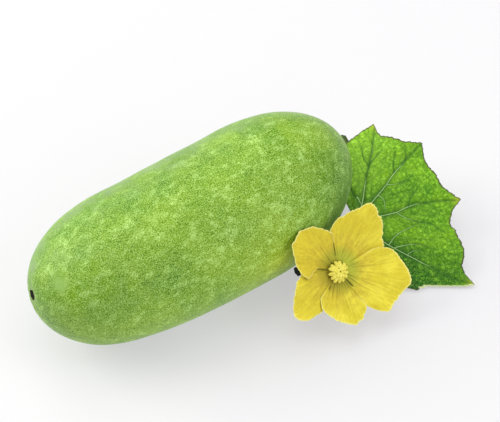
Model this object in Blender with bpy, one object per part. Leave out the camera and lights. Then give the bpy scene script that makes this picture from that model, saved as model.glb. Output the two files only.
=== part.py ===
"""An ash gourd, picked with a short piece of its vine, one leaf and one open flower.

Metres, +Z up. +X runs along the gourd to its stem end, and the origin is the centre of the
flat spot under the belly that it lies on.
"""

import math

import bmesh
import bpy
from mathutils import Matrix, Vector

MM = 0.001
GAP = 0.3 * MM  # left between two pieces that touch

# Gourd
GOURD_LENGTH = 312.6 * MM
GOURD_RADIUS = 70.9 * MM
STEM_END = 160 * MM  # from the flat spot's centre
BLOSSOM_END = STEM_END - GOURD_LENGTH
BLOSSOM_CAP = 101.5 * MM  # how far each rounded end reaches along the gourd
STEM_CAP = 115.5 * MM
BLOSSOM_FULLNESS = 2.28  # 2 rounds an end off as an ellipse, and more makes it blunter
STEM_FULLNESS = 2.17
BLOSSOM_SHOULDER = BLOSSOM_END + BLOSSOM_CAP
STEM_SHOULDER = STEM_END - STEM_CAP
BLOSSOM_SLIMMING = 0.068  # how much thinner the blossom half is
SLIMMING_FROM = 36.5 * MM
SLIMMING_OVER = 105 * MM
WAIST_DEPTH = 3 * MM
WAIST_AT = 29 * MM
WAIST_WIDTH = 55.5 * MM
# A shallow hollow low on the side towards -Y, near the blossom end
HOLLOW_DEPTH = 3.1 * MM
HOLLOW_AT = -78 * MM
HOLLOW_WIDTH = 38.5 * MM
HOLLOW_TURN = math.radians(-143)
SIDE_BEND = 5.7 * MM  # both ends curve this far towards +Y
STEM_END_RISE = 5 * MM
FLAT_DEPTH = 0.9 * MM  # the belly settles by this much into its flat spot
LUMP_HEIGHT = 0.45 * MM
# Slow swellings of the skin: waves round the gourd, turn per metre along it, phase, strength
LUMPS = ((2, 21, 1, 1.0), (3, -34, 0, 0.7))
SCAR_DEPTH = 1.8 * MM
SCAR_SPREAD = 7 * MM
SCAR_ASIDE = Vector((0, 7, 6.3)) * MM  # from the blossom end's tip to the scar
GOURD_SIDES = 64
CAP_RINGS = 13
BELLY_RINGS = 13

# Where the fruit stalk leaves the stem end: this far down its cap, turned towards +Y
STALK_CAP_ANGLE = math.radians(30)
STALK_TURN = math.radians(20)
STALK_SUNK = 3.5 * MM
STALK_RADII = [6.4 * MM, 5.4 * MM, 4.9 * MM, 4.9 * MM, 5.2 * MM]
STALK_STRAIGHT = 12 * MM  # leaves the gourd straight for this long
SOCKET_SIDES = 14

# Vine piece: lies on the ground under the stem end, cut at both ends. Every stalk grows from
# its node. Routes are in millimetres.
VINE_RADIUS = 4.2 * MM
NODE_RADIUS = 6.6 * MM
VINE_NODE = (182, 5, 7)
VINE_ROUTE = [(78.5, -44, 5), (108, -42, 4.6), (138, -34, 4.6), (164, -18, 5.5), VINE_NODE,
              (193, 26, 6), (203, 46, 4.8), (208.5, 68.5, 5)]
FRUIT_STALK_ROUTE = [(167, 24, 20), (177, 17, 11), VINE_NODE]
PETIOLE_ROUTE = [VINE_NODE, (174, -13, 12), (160, -30, 16)]
PETIOLE_RADII = [3.4 * MM, 2.7 * MM, 2.2 * MM]
PETIOLE_STRAIGHT = 4 * MM  # meets the leaf squarely over this length
PEDICEL_ROUTE = [VINE_NODE, (166, -26, 6), (149, -40, 7), (134, -40, 13), (122, -40, 22),
                 (106, -50, 28)]
PEDICEL_RADII = [2.8 * MM, 2.1 * MM, 2.1 * MM]
PEDICEL_STRAIGHT = 5 * MM  # meets the calyx squarely over this length
PEDICEL_APPROACH = 14 * MM
PEDICEL_SWING = Vector((5, 2, -1)) * MM  # how far it still is aside at that distance

# Leaf: its own frame has the stalk's joint as origin and +X along the middle rib
LEAF_JOINT = Vector((145.8, -39.5, 25.4)) * MM
LEAF_UP = Vector((-0.221, -0.311, 0.924)).normalized()
MIDDLE_RIB = Vector((0.920, -0.382, 0.091))
LEAF_THICKNESS = 0.9 * MM
RIB_HEIGHT = 1.3 * MM
RIB_ANGLES = (88, 66, 39.5, 2, -43, -64, -89, -116)  # degrees, one rib to each lobe
RIB_HALF_WIDTH = 1.1  # degrees
PUCKER = 2.6 * MM  # how far the blade puffs up between two ribs
EDGE_WAVE = 1.5 * MM
EDGE_WAVES = 9  # in a full turn
FULL_PUCKER = 60 * MM  # a shorter stretch of blade puffs up and waves less
LEAF_ROWS = 9
GROUND_CLEARANCE = 1.0 * MM
# The blade's margin as (degrees from the middle rib, millimetres from the joint)
MARGIN = (
    (104, 5), (103, 17), (101, 28), (98, 42), (95, 54), (91, 65), (86, 73), (81, 78),
    (73, 88), (66.8, 96.5), (64.4, 90), (61.5, 86.2), (57, 87), (50, 88.3), (48, 88), (43, 92.3),
    (38.6, 97.5), (35, 91.5), (31.2, 87), (25.5, 84.8), (20.5, 85.5), (12, 84.3), (8.5, 86),
    (0, 96.5), (-3.5, 89.5), (-7, 86), (-13, 83.8), (-15.5, 85), (-17.6, 89), (-20.5, 90.3),
    (-23.5, 94), (-28.5, 99.2), (-32.5, 100.8), (-36.5, 101.5), (-39.5, 107), (-42, 119),
    (-44.7, 113), (-51, 96.5), (-57, 85.8), (-60, 84), (-63, 83), (-68, 75), (-75, 70),
    (-82, 68), (-89, 70), (-95, 63), (-103, 59), (-111, 60), (-117, 61), (-122, 53),
    (-129, 47), (-136, 42), (-141, 30), (-144, 17), (-145, 5),
)

# Flower: its own frame has the throat's middle as origin and +Z the way it faces
FLOWER_CENTRE = Vector((87.4, -93.0, 49.8)) * MM
FLOWER_FACING = Vector((0.014, -0.739, 0.674)).normalized()
FLOWER_RIGHT = Vector((0.910, -0.269, -0.314))
CUP_HEIGHT = 9 * MM  # how far the petals' ends stand before the throat
CUP_RADIUS = 52 * MM
THROAT_RADIUS = 12 * MM
THROAT_DEPTH = 2.6 * MM
THROAT_THICKNESS = 1.3 * MM
PETAL_ROOT = 7.5 * MM
ROOT_SPREAD = 0.92  # a petal's angle at its root over its widest
FULL_SPREAD_AT = 0.6  # of its length
TUCK_FROM = 0.5
TUCK_OVER = 0.42
PETAL_THICKNESS = 0.8 * MM
PETAL_WAVE = 1.4 * MM
PETAL_WAVES = 11  # in a full turn
PETAL_ROWS = 7
PETAL_COLUMNS = 16
# Each petal: middle and half width in degrees, step towards the viewer in millimetres, how
# much its anticlockwise edge is tucked in behind a hanging tip, and how far it reaches at nine
# places from its clockwise to its anticlockwise edge
PETALS = (
    (66, 40, -0.9, 0, (45, 48.5, 55.5, 58.5, 62.5, 54, 48.5, 43.5, 35)),
    (-10, 42, 1.0, 0, (38, 53.6, 56, 59, 63, 60, 55.5, 49.5, 36)),
    (-90, 39, 0.2, 0, (30, 37, 39.8, 41.6, 44.3, 47, 48, 44.7, 38.5)),
    (-150, 34, -1.8, 0, (30, 36.2, 42.8, 49.4, 54.5, 58.8, 57.5, 47, 39)),
    (147.5, 44.5, 0.8, 0.4, (33, 38.5, 45.5, 51.5, 53.6, 53.5, 45.5, 40, 33)),
)

# Stamens and calyx, in the flower's frame
STAMEN_RADIUS = 8.65 * MM
STAMEN_FOOT = 4.5 * MM
STAMEN_NECK = 2 * MM
STAMEN_HEIGHT = 9.5 * MM
STAMEN_RINGS = 9
STAMEN_KNOBS = 9
KNOB_DEPTH = 0.12  # of the radius
KNOB_DRIFT = 2.1  # radians from one ring to the next
CALYX_RADIUS = 6.5 * MM
CALYX_LENGTH = 12 * MM
# The calyx cup from its foot up, as (part of its radius, part of its length)
CALYX_PROFILE = ((0.43, 0), (0.47, 0.15), (0.85, 0.5), (1.0, 0.8), (0.96, 1.0))
SEPAL_COUNT = 5
SEPAL_TURN = math.radians(32)
SEPAL_LENGTH = 15 * MM
SEPAL_WIDTH = 3.6 * MM
SEPAL_THICKNESS = 1.0 * MM
SEPAL_DROOP = 1.2 * MM
# A sepal from its root to its tip, as (part of its length, part of its width)
SEPAL_OUTLINE = ((0, 1.0), (0.35, 1.1), (0.7, 0.7), (1.0, 0.15))


def clear_scene():
    for thing in list(bpy.data.objects):
        bpy.data.objects.remove(thing)


def make_material(name, colour, roughness):
    material = bpy.data.materials.new(name)
    material.use_nodes = True
    shader = material.node_tree.nodes["Principled BSDF"]
    shader.inputs["Base Color"].default_value = (*colour, 1)
    shader.inputs["Roughness"].default_value = roughness
    material.diffuse_color = (*colour, 1)
    return material


def make_object(name, points, faces, material=None):
    mesh = bpy.data.meshes.new(name)
    mesh.from_pydata([tuple(p) for p in points], [], faces)
    mesh.validate()
    work = bmesh.new()
    work.from_mesh(mesh)
    bmesh.ops.recalc_face_normals(work, faces=work.faces)
    bmesh.ops.triangulate(work, faces=work.faces)
    work.to_mesh(mesh)
    work.free()
    mesh.shade_smooth()
    if material:
        mesh.materials.append(material)
    thing = bpy.data.objects.new(name, mesh)
    bpy.context.scene.collection.objects.link(thing)
    return thing


def fuse(name, pieces, material):
    """One object from overlapping closed pieces."""
    whole, *others = pieces
    for other in others:
        union = whole.modifiers.new("union", "BOOLEAN")
        union.operation = "UNION"
        union.object = other
        union.solver = "EXACT"
        bpy.context.view_layer.update()
        evaluated = whole.evaluated_get(bpy.context.evaluated_depsgraph_get())
        mesh = bpy.data.meshes.new_from_object(evaluated)
        whole.modifiers.remove(union)
        whole.data = mesh
        bpy.data.objects.remove(other)
    whole.name = whole.data.name = name
    whole.data.materials.clear()
    whole.data.materials.append(material)
    return whole


def in_metres(route):
    return [Vector(point) * MM for point in route]


def smooth_step(t):
    t = min(max(t, 0.0), 1.0)
    return t * t * (3 - 2 * t)


def curve_through(points, steps):
    """Points on one smooth curve through the given ones, with `steps` between each two."""
    known = [Vector(p) for p in points]
    ends = [known[0] * 2 - known[1], *known, known[-1] * 2 - known[-2]]
    found = []
    for before, start, end, after in zip(ends, ends[1:], ends[2:], ends[3:]):
        for step in range(steps):
            t = step / steps
            bend = (before * 2 - start * 5 + end * 4 - after) * t * t
            twist = (start * 3 - before - end * 3 + after) * t**3
            found.append((start * 2 + (end - before) * t + bend + twist) / 2)
    return [*found, known[-1]]


def values_along(values, count):
    """`count` values spread evenly over a list of them, with straight runs between."""
    found = []
    for i in range(count):
        place = i / (count - 1) * (len(values) - 1)
        low = min(int(place), len(values) - 2)
        found.append(values[low] + (values[low + 1] - values[low]) * (place - low))
    return found


def make_tube(name, route, radii, sides, ridge=0.0, steps=6):
    """A closed tube along a smooth curve; a ridge lowers every second side."""
    centres = curve_through(route, steps)
    radii = values_along(radii, len(centres))
    aside = Vector((0, 0, 1))
    points = []
    for i, centre in enumerate(centres):
        along = centres[min(i + 1, len(centres) - 1)] - centres[max(i - 1, 0)]
        along.normalize()
        aside = (aside - along * aside.dot(along)).normalized()
        across = along.cross(aside)
        for side in range(sides):
            turn = 2 * math.pi * side / sides
            reach = radii[i] * (1 - ridge * (side % 2))
            points.append(centre + (aside * math.cos(turn) + across * math.sin(turn)) * reach)
    faces = [list(range(sides))[::-1]]
    faces += [
        (row + side, row + (side + 1) % sides, row + sides + (side + 1) % sides, row + sides + side)
        for row in range(0, len(points) - sides, sides)
        for side in range(sides)
    ]
    faces.append(list(range(len(points) - sides, len(points))))
    return make_object(name, points, faces)


def make_ball(name, centre, radius):
    work = bmesh.new()
    bmesh.ops.create_uvsphere(work, u_segments=12, v_segments=8, radius=radius)
    bmesh.ops.translate(work, verts=work.verts, vec=centre)
    mesh = bpy.data.meshes.new(name)
    work.to_mesh(mesh)
    work.free()
    thing = bpy.data.objects.new(name, mesh)
    bpy.context.scene.collection.objects.link(thing)
    return thing


def belly_radius(x):
    """The gourd's radius before its ends round off."""
    towards_blossom = smooth_step((SLIMMING_FROM - x) / SLIMMING_OVER)
    waist = WAIST_DEPTH * math.exp(-(((x - WAIST_AT) / WAIST_WIDTH) ** 2))
    return GOURD_RADIUS * (1 - BLOSSOM_SLIMMING * towards_blossom) - waist


def axis_point(x):
    along = x / STEM_END
    rise = STEM_END_RISE * max(along, 0) ** 2
    return Vector((x, SIDE_BEND * along**2, belly_radius(x) - FLAT_DEPTH + rise))


def cap_shape(x):
    """1 along the belly, rounding off to 0 at each end."""
    if x < BLOSSOM_SHOULDER:
        past = ((BLOSSOM_SHOULDER - x) / BLOSSOM_CAP) ** BLOSSOM_FULLNESS
    else:
        past = (max(x - STEM_SHOULDER, 0) / STEM_CAP) ** STEM_FULLNESS
    return math.sqrt(max(1 - past, 0))


def hollow(x, turn):
    """How deep the hollow on the gourd's side is here."""
    facing = (0.5 + 0.5 * math.cos(turn - HOLLOW_TURN)) ** 3
    return HOLLOW_DEPTH * math.exp(-(((x - HOLLOW_AT) / HOLLOW_WIDTH) ** 2)) * facing


def gourd_point(x, turn):
    shape = cap_shape(x)
    lump = sum(high * math.sin(waves * turn + drift * x + phase)
               for waves, drift, phase, high in LUMPS)
    radius = (belly_radius(x) + LUMP_HEIGHT * lump - hollow(x, turn)) * shape
    point = axis_point(x) + Vector((0, math.cos(turn), math.sin(turn))) * radius
    if x < BLOSSOM_SHOULDER:
        scar = axis_point(BLOSSOM_END) + SCAR_ASIDE
        to_scar = math.hypot(point.y - scar.y, point.z - scar.z)
        point.x += SCAR_DEPTH * math.exp(-((to_scar / SCAR_SPREAD) ** 2))
    point.z = max(point.z, 0)
    return point


def gourd_rings():
    """The rings' places along the gourd, closer together on the rounded ends."""
    quarter = math.pi / 2
    blossom = [
        BLOSSOM_SHOULDER - BLOSSOM_CAP * math.cos(quarter * (i / CAP_RINGS) ** 1.15)
        for i in range(1, CAP_RINGS)
    ]
    span = STEM_SHOULDER - BLOSSOM_SHOULDER
    belly = [BLOSSOM_SHOULDER + span * i / BELLY_RINGS for i in range(BELLY_RINGS + 1)]
    stem = [
        STEM_SHOULDER + STEM_CAP * math.sin(quarter * (1 - (1 - i / CAP_RINGS) ** 1.15))
        for i in range(1, CAP_RINGS)
    ]
    return blossom + belly + stem


def stalk_joint():
    """Where the fruit stalk meets the gourd, and the way that it leaves."""
    past = math.cos(STALK_CAP_ANGLE)
    x = STEM_SHOULDER + STEM_CAP * past
    aside = Vector((0, math.sin(STALK_TURN), -math.cos(STALK_TURN)))
    point = axis_point(x) + aside * belly_radius(x) * cap_shape(x)
    steepness = STEM_FULLNESS / 2 * past ** (STEM_FULLNESS - 1)
    outward = Vector((steepness / STEM_CAP, 0, 0)) + aside * cap_shape(x) / GOURD_RADIUS
    return point, outward.normalized()


def make_gourd(material):
    points = [gourd_point(BLOSSOM_END, 0)]
    for x in gourd_rings():
        turns = (2 * math.pi * side / GOURD_SIDES for side in range(GOURD_SIDES))
        points += [gourd_point(x, turn) for turn in turns]
    points.append(gourd_point(STEM_END, 0))
    last = len(points) - 1
    faces = []
    for side in range(GOURD_SIDES):
        after = (side + 1) % GOURD_SIDES
        faces.append((0, 1 + after, 1 + side))
        for row in range(1, last - GOURD_SIDES, GOURD_SIDES):
            if row + GOURD_SIDES < last:
                upper = row + GOURD_SIDES
                faces.append((row + side, row + after, upper + after, upper + side))
        faces.append((last - GOURD_SIDES + side, last - GOURD_SIDES + after, last))
    gourd = make_object("gourd", points, faces, material)

    joint, outward = stalk_joint()
    start = joint - outward * (STALK_SUNK + GAP)
    cutter = make_tube("stalk_socket", [start, joint, joint + outward * STALK_STRAIGHT],
                       [STALK_RADII[0] + GAP] * 2, SOCKET_SIDES)
    cutter.hide_render = True
    cutter.display_type = "WIRE"
    socket = gourd.modifiers.new("stalk socket", "BOOLEAN")
    socket.operation = "DIFFERENCE"
    socket.object = cutter
    socket.solver = "EXACT"
    return gourd


def calyx_foot():
    """The middle of the calyx's lower end."""
    behind = THROAT_DEPTH + PETAL_THICKNESS + GAP + CALYX_LENGTH
    return FLOWER_CENTRE - FLOWER_FACING * behind


def make_stem(material):
    """The vine piece with the stalks of fruit, leaf and flower, grown as one."""
    vine = make_tube("vine", in_metres(VINE_ROUTE), [VINE_RADIUS] * 2, 10, ridge=0.1, steps=5)
    node = make_ball("node", Vector(VINE_NODE) * MM, NODE_RADIUS)

    joint, outward = stalk_joint()
    fruit_end = [joint - outward * STALK_SUNK, joint + outward * STALK_STRAIGHT]
    stalk = make_tube("fruit_stalk", fruit_end + in_metres(FRUIT_STALK_ROUTE), STALK_RADII, 12,
                      ridge=0.08, steps=4)

    under_leaf = LEAF_JOINT - LEAF_UP * (LEAF_THICKNESS / 2 + RIB_HEIGHT + GAP)
    leaf_end = [under_leaf - LEAF_UP * PETIOLE_STRAIGHT, under_leaf]
    petiole = make_tube("petiole", in_metres(PETIOLE_ROUTE) + leaf_end, PETIOLE_RADII, 8, steps=4)

    under_flower = calyx_foot() - FLOWER_FACING * 2 * GAP
    flower_end = [
        under_flower - FLOWER_FACING * PEDICEL_APPROACH + PEDICEL_SWING,
        under_flower - FLOWER_FACING * PEDICEL_STRAIGHT,
        under_flower,
    ]
    pedicel = make_tube("pedicel", in_metres(PEDICEL_ROUTE) + flower_end, PEDICEL_RADII, 8, steps=4)
    return fuse("vine_stem", [vine, node, stalk, petiole, pedicel], material)


def margin_reach(angle):
    """How far the blade reaches at this angle from its middle rib."""
    for (high, far), (low, near) in zip(MARGIN, MARGIN[1:]):
        if low <= angle <= high:
            return (near + (far - near) * (angle - low) / (high - low)) * MM
    return MARGIN[0][1] * MM


def rib_strength(angle):
    nearest = min(abs(angle - rib) for rib in RIB_ANGLES)
    return max(1 - nearest / RIB_HALF_WIDTH, 0)


def puff(angle):
    """0 on a rib and 1 halfway between two ribs."""
    for high, low in zip(RIB_ANGLES, RIB_ANGLES[1:]):
        if low <= angle <= high:
            return math.sin(math.pi * (angle - low) / (high - low))
    return 0.0


def leaf_angles():
    """The blade's columns: every point of its margin, and each rib with both its sides."""
    ribs = [rib + side * RIB_HALF_WIDTH for rib in RIB_ANGLES for side in (-1, 0, 1)]
    margin = [angle for angle, _ in MARGIN]
    spare = [a for a in margin if min(abs(a - rib) for rib in ribs) > 0.9]
    ends = [MARGIN[0][0], MARGIN[-1][0]]
    return sorted(set(ribs + spare + ends), reverse=True)


def leaf_height(angle, part, reach):
    """The blade's middle surface over its plane, at this part of the way to the margin."""
    quilt = PUCKER * puff(angle) * part * (1.3 - part)
    wave = EDGE_WAVE * math.sin(math.radians(angle * EDGE_WAVES)) * part**4
    return (quilt + wave) * min(reach / FULL_PUCKER, 1)


def make_leaf(material):
    across = LEAF_UP.cross(MIDDLE_RIB).normalized()
    along = across.cross(LEAF_UP)
    frame = Matrix((along, across, LEAF_UP)).transposed().to_4x4()
    frame.translation = LEAF_JOINT
    angles = leaf_angles()
    lowest = GROUND_CLEARANCE + LEAF_THICKNESS / 2
    upper, lower = [], []
    for angle in angles:
        turn = math.radians(angle)
        reach = margin_reach(angle)
        for row in range(1, LEAF_ROWS + 1):
            part = row / LEAF_ROWS
            height = leaf_height(angle, part, reach)
            point = Vector((math.cos(turn) * reach * part, math.sin(turn) * reach * part, height))
            world = frame @ point
            lift = max(lowest + RIB_HEIGHT * rib_strength(angle) - world.z, 0) / LEAF_UP.z
            point.z += lift
            rib = RIB_HEIGHT * rib_strength(angle) * (1 - 0.8 * part)
            upper.append(point + Vector((0, 0, LEAF_THICKNESS / 2)))
            lower.append(point - Vector((0, 0, LEAF_THICKNESS / 2 + rib)))
    centre = [Vector((0, 0, LEAF_THICKNESS / 2)), Vector((0, 0, -LEAF_THICKNESS / 2))]
    count = len(upper)
    points = upper + lower + centre
    top, bottom = 2 * count, 2 * count + 1
    faces = []
    for column in range(len(angles) - 1):
        here, there = column * LEAF_ROWS, (column + 1) * LEAF_ROWS
        faces += [(top, here, there), (bottom, count + there, count + here)]
        for row in range(LEAF_ROWS - 1):
            a, b, c, d = here + row, here + row + 1, there + row + 1, there + row
            faces += [(a, b, c), (a, c, d)]
            faces += [(count + a, count + c, count + b), (count + a, count + d, count + c)]
        outer, beyond = here + LEAF_ROWS - 1, there + LEAF_ROWS - 1
        faces.append((outer, count + outer, count + beyond, beyond))
    for first in (0, (len(angles) - 1) * LEAF_ROWS):
        faces.append((top, first, count + first, bottom))
        for row in range(first, first + LEAF_ROWS - 1):
            faces.append((row, row + 1, count + row + 1, count + row))
    leaf = make_object("leaf", points, faces, material)
    leaf.matrix_world = frame
    return leaf


def flower_frame():
    across = FLOWER_FACING.cross(FLOWER_RIGHT).normalized()
    along = across.cross(FLOWER_FACING)
    frame = Matrix((along, across, FLOWER_FACING)).transposed().to_4x4()
    frame.translation = FLOWER_CENTRE
    return frame


def cup_height(radius):
    """The corolla's middle surface: a dished throat, then a shallow cup."""
    if radius < THROAT_RADIUS:
        return -THROAT_DEPTH * (1 - smooth_step(radius / THROAT_RADIUS))
    out = (radius - THROAT_RADIUS) / (CUP_RADIUS - THROAT_RADIUS)
    return CUP_HEIGHT * out**1.3


def petal_spread(part, side, tuck):
    """A petal's angle this far out over its widest, with its hanging tip's edge tucked in."""
    spread = ROOT_SPREAD + (1 - ROOT_SPREAD) * smooth_step(part / FULL_SPREAD_AT)
    if side > 0:
        spread *= 1 - tuck * (1 - smooth_step((part - TUCK_FROM) / TUCK_OVER))
    return spread


def make_petal(middle, half_width, step, tuck, reaches):
    columns, rows = PETAL_COLUMNS, PETAL_ROWS
    reach_at = values_along(reaches, columns + 1)
    upper, lower = [], []
    for column in range(columns + 1):
        side = 2 * column / columns - 1
        for row in range(rows + 1):
            part = row / rows
            turn = math.radians(middle + side * half_width * petal_spread(part, side, tuck))
            radius = PETAL_ROOT + (reach_at[column] * MM - PETAL_ROOT) * part
            wave = PETAL_WAVE * math.sin(turn * PETAL_WAVES + middle) * part**3
            height = cup_height(radius) + wave + step * MM * smooth_step(part * 2)
            point = Vector((math.cos(turn) * radius, math.sin(turn) * radius, height))
            upper.append(point + Vector((0, 0, PETAL_THICKNESS / 2)))
            lower.append(point - Vector((0, 0, PETAL_THICKNESS / 2)))
    count = len(upper)
    line = rows + 1
    faces = []
    for column in range(columns):
        for row in range(rows):
            a = column * line + row
            b, c, d = a + 1, a + line + 1, a + line
            faces += [(a, d, c), (a, c, b), (count + a, count + c, count + d)]
            faces.append((count + a, count + b, count + c))
        for edge in (column * line, column * line + rows):
            faces.append((edge, edge + line, count + edge + line, count + edge))
    for first in (0, columns * line):
        for row in range(first, first + rows):
            faces.append((row, row + 1, count + row + 1, count + row))
    return make_object("petal", upper + lower, faces)


def make_turned(name, profile, sides, material=None, swell=None):
    """A solid of revolution about Z from (radius, height) points, from foot to top."""
    points = [Vector((0, 0, profile[0][1]))]
    for row, (radius, height) in enumerate(profile):
        for side in range(sides):
            turn = 2 * math.pi * side / sides
            grow = swell(row, turn) if swell else 1
            points.append(Vector((math.cos(turn), math.sin(turn), 0)) * radius * grow
                          + Vector((0, 0, height)))
    points.append(Vector((0, 0, profile[-1][1])))
    last = len(points) - 1
    faces = []
    for side in range(sides):
        after = (side + 1) % sides
        faces.append((0, 1 + after, 1 + side))
        for row in range(len(profile) - 1):
            low, high = 1 + row * sides, 1 + (row + 1) * sides
            faces.append((low + side, low + after, high + after, high + side))
        faces.append((last - sides + side, last - sides + after, last))
    return make_object(name, points, faces, material)


def make_petals(frame, material):
    half = THROAT_THICKNESS / 2
    outward = [THROAT_RADIUS * i / 5 for i in range(1, 6)]
    profile = [(radius, cup_height(radius) - half) for radius in outward]
    profile += [(radius, cup_height(radius) + half) for radius in outward[::-1]]
    throat = make_turned("throat", profile, 24)
    petals = [make_petal(*petal) for petal in PETALS]
    corolla = fuse("flower_petals", [throat, *petals], material)
    corolla.matrix_world = frame
    return corolla


def make_stamens(frame, material):
    foot = cup_height(STAMEN_FOOT) + THROAT_THICKNESS / 2 + GAP
    profile = [(STAMEN_FOOT, foot), (STAMEN_FOOT, foot + STAMEN_NECK)]
    for ring in range(STAMEN_RINGS):
        lean = math.radians(-30 + 110 * ring / (STAMEN_RINGS - 1))
        height = STAMEN_HEIGHT * (0.5 + 0.45 * math.sin(lean))
        profile.append((STAMEN_RADIUS * math.cos(lean), foot + height))
    neck_rows = 2

    def knobs(row, turn):
        if row < neck_rows:
            return 1
        return 1 + KNOB_DEPTH * math.sin(STAMEN_KNOBS * turn + KNOB_DRIFT * row)

    stamens = make_turned("flower_stamens", profile, 36, material, knobs)
    stamens.matrix_world = frame
    return stamens


def make_sepal(turn, height):
    """One narrow pointed sepal that leaves the calyx rim sideways."""
    upper = []
    for part, width in SEPAL_OUTLINE:
        radius = CALYX_RADIUS * 0.7 + SEPAL_LENGTH * part
        for side in (-1, 1):
            across = side * width * SEPAL_WIDTH / 2
            upper.append(Vector((radius, across, height - SEPAL_DROOP * part)))
    turned = Matrix.Rotation(turn, 4, "Z")
    points = [turned @ p for p in upper]
    points += [turned @ (p - Vector((0, 0, SEPAL_THICKNESS))) for p in upper]
    count = len(upper)
    faces = [(0, 1, count + 1, count), (count - 2, count - 1, 2 * count - 1, 2 * count - 2)]
    for row in range(0, count - 2, 2):
        faces.append((row, row + 1, row + 3, row + 2))
        faces.append((count + row, count + row + 1, count + row + 3, count + row + 2))
        for edge in (row, row + 1):
            faces.append((edge, edge + 2, count + edge + 2, count + edge))
    return make_object("sepal", points, faces)


def make_calyx(frame, material):
    top = cup_height(0) - THROAT_THICKNESS / 2 - GAP
    low = (frame.inverted() @ calyx_foot()).z
    profile = [(CALYX_RADIUS * wide, low + (top - low) * high) for wide, high in CALYX_PROFILE]
    cup = make_turned("cup", profile, 15)
    sepals = [
        make_sepal(SEPAL_TURN + 2 * math.pi * i / SEPAL_COUNT, top - GAP)
        for i in range(SEPAL_COUNT)
    ]
    calyx = fuse("flower_calyx", [cup, *sepals], material)
    calyx.matrix_world = frame
    return calyx


def main():
    clear_scene()
    make_gourd(make_material("gourd skin", (0.29, 0.50, 0.08), 0.45))
    make_stem(make_material("green stem", (0.14, 0.26, 0.06), 0.7))
    make_leaf(make_material("leaf", (0.13, 0.36, 0.03), 0.5))
    frame = flower_frame()
    make_petals(frame, make_material("petal", (0.80, 0.62, 0.06), 0.55))
    make_stamens(frame, make_material("stamen", (0.85, 0.72, 0.18), 0.7))
    make_calyx(frame, make_material("calyx", (0.20, 0.35, 0.08), 0.7))


main()
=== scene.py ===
"""The looks of an ash gourd, picked with a short piece of vine, one leaf and one open flower.

Each piece repeats the sizes and formulas of the solid that it stands for, on a finer mesh.
Metres, +Z up; +X runs along the gourd to its stem end.
"""

import math

import bpy
import numpy as np
from mathutils import Matrix, Vector, kdtree, noise


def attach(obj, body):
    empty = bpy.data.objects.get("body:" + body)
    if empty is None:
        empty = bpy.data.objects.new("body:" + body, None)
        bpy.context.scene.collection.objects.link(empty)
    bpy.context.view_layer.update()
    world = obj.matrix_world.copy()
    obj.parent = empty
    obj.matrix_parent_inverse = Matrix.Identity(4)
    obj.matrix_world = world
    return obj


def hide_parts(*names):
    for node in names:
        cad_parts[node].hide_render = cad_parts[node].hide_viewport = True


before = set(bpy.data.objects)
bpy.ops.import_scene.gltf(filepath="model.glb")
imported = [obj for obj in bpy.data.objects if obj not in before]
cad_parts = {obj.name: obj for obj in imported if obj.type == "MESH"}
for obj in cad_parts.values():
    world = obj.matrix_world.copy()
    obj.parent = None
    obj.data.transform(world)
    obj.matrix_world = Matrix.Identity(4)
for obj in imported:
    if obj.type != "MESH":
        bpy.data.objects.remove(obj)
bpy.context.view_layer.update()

MM = 0.001
RNG = np.random.default_rng(7)

# Gourd
GOURD_LENGTH = 312.6 * MM
GOURD_RADIUS = 70.9 * MM
STEM_END = 160 * MM
BLOSSOM_END = STEM_END - GOURD_LENGTH
BLOSSOM_CAP = 101.5 * MM
STEM_CAP = 115.5 * MM
BLOSSOM_FULLNESS = 2.28
STEM_FULLNESS = 2.17
BLOSSOM_SHOULDER = BLOSSOM_END + BLOSSOM_CAP
STEM_SHOULDER = STEM_END - STEM_CAP
BLOSSOM_SLIMMING = 0.068
SLIMMING_FROM = 36.5 * MM
SLIMMING_OVER = 105 * MM
WAIST_DEPTH = 3 * MM
WAIST_AT = 29 * MM
WAIST_WIDTH = 55.5 * MM
HOLLOW_DEPTH = 3.1 * MM
HOLLOW_AT = -78 * MM
HOLLOW_WIDTH = 38.5 * MM
HOLLOW_TURN = math.radians(-143)
SIDE_BEND = 5.7 * MM
STEM_END_RISE = 5 * MM
FLAT_DEPTH = 0.9 * MM
LUMP_HEIGHT = 0.45 * MM
# Slow swellings of the skin: waves round the gourd, turn per metre along it, phase, strength
LUMPS = ((2, 21, 1, 1.0), (3, -34, 0, 0.7))
SCAR_DEPTH = 1.8 * MM
SCAR_SPREAD = 7 * MM
SCAR_ASIDE = np.array([0, 7, 6.3]) * MM  # from the blossom end's tip to the scar
SCAR_RADIUS = 4.0 * MM
SCAR_FACING = Vector((-0.98, 0.14, 0.13)).normalized()
FURROW_DEPTH = 0.35 * MM  # of fine furrows in a ring round the scar
FURROWS_AT = 12 * MM
FURROWS_WIDTH = 7 * MM
DIMPLE_DEPTH = 1.3 * MM  # where the fruit stalk leaves
DIMPLE_WIDTH = 11 * MM
# Small dents of the skin: noise scale, seed, depth
SKIN_DENTS = ((38, 3, 0.35 * MM), (110, 9, 0.10 * MM))
SMOOTH_SPOT = np.array([-135.9, -12.7, 99.6]) * MM  # middle of a smooth pale spot on the skin
SPOT_REACH = 11 * MM
SPOT_FADE = 9 * MM
BACK = np.array([0, 0.9, 0.43])  # the way that the side with the grey bloom and painted sheen faces
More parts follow.
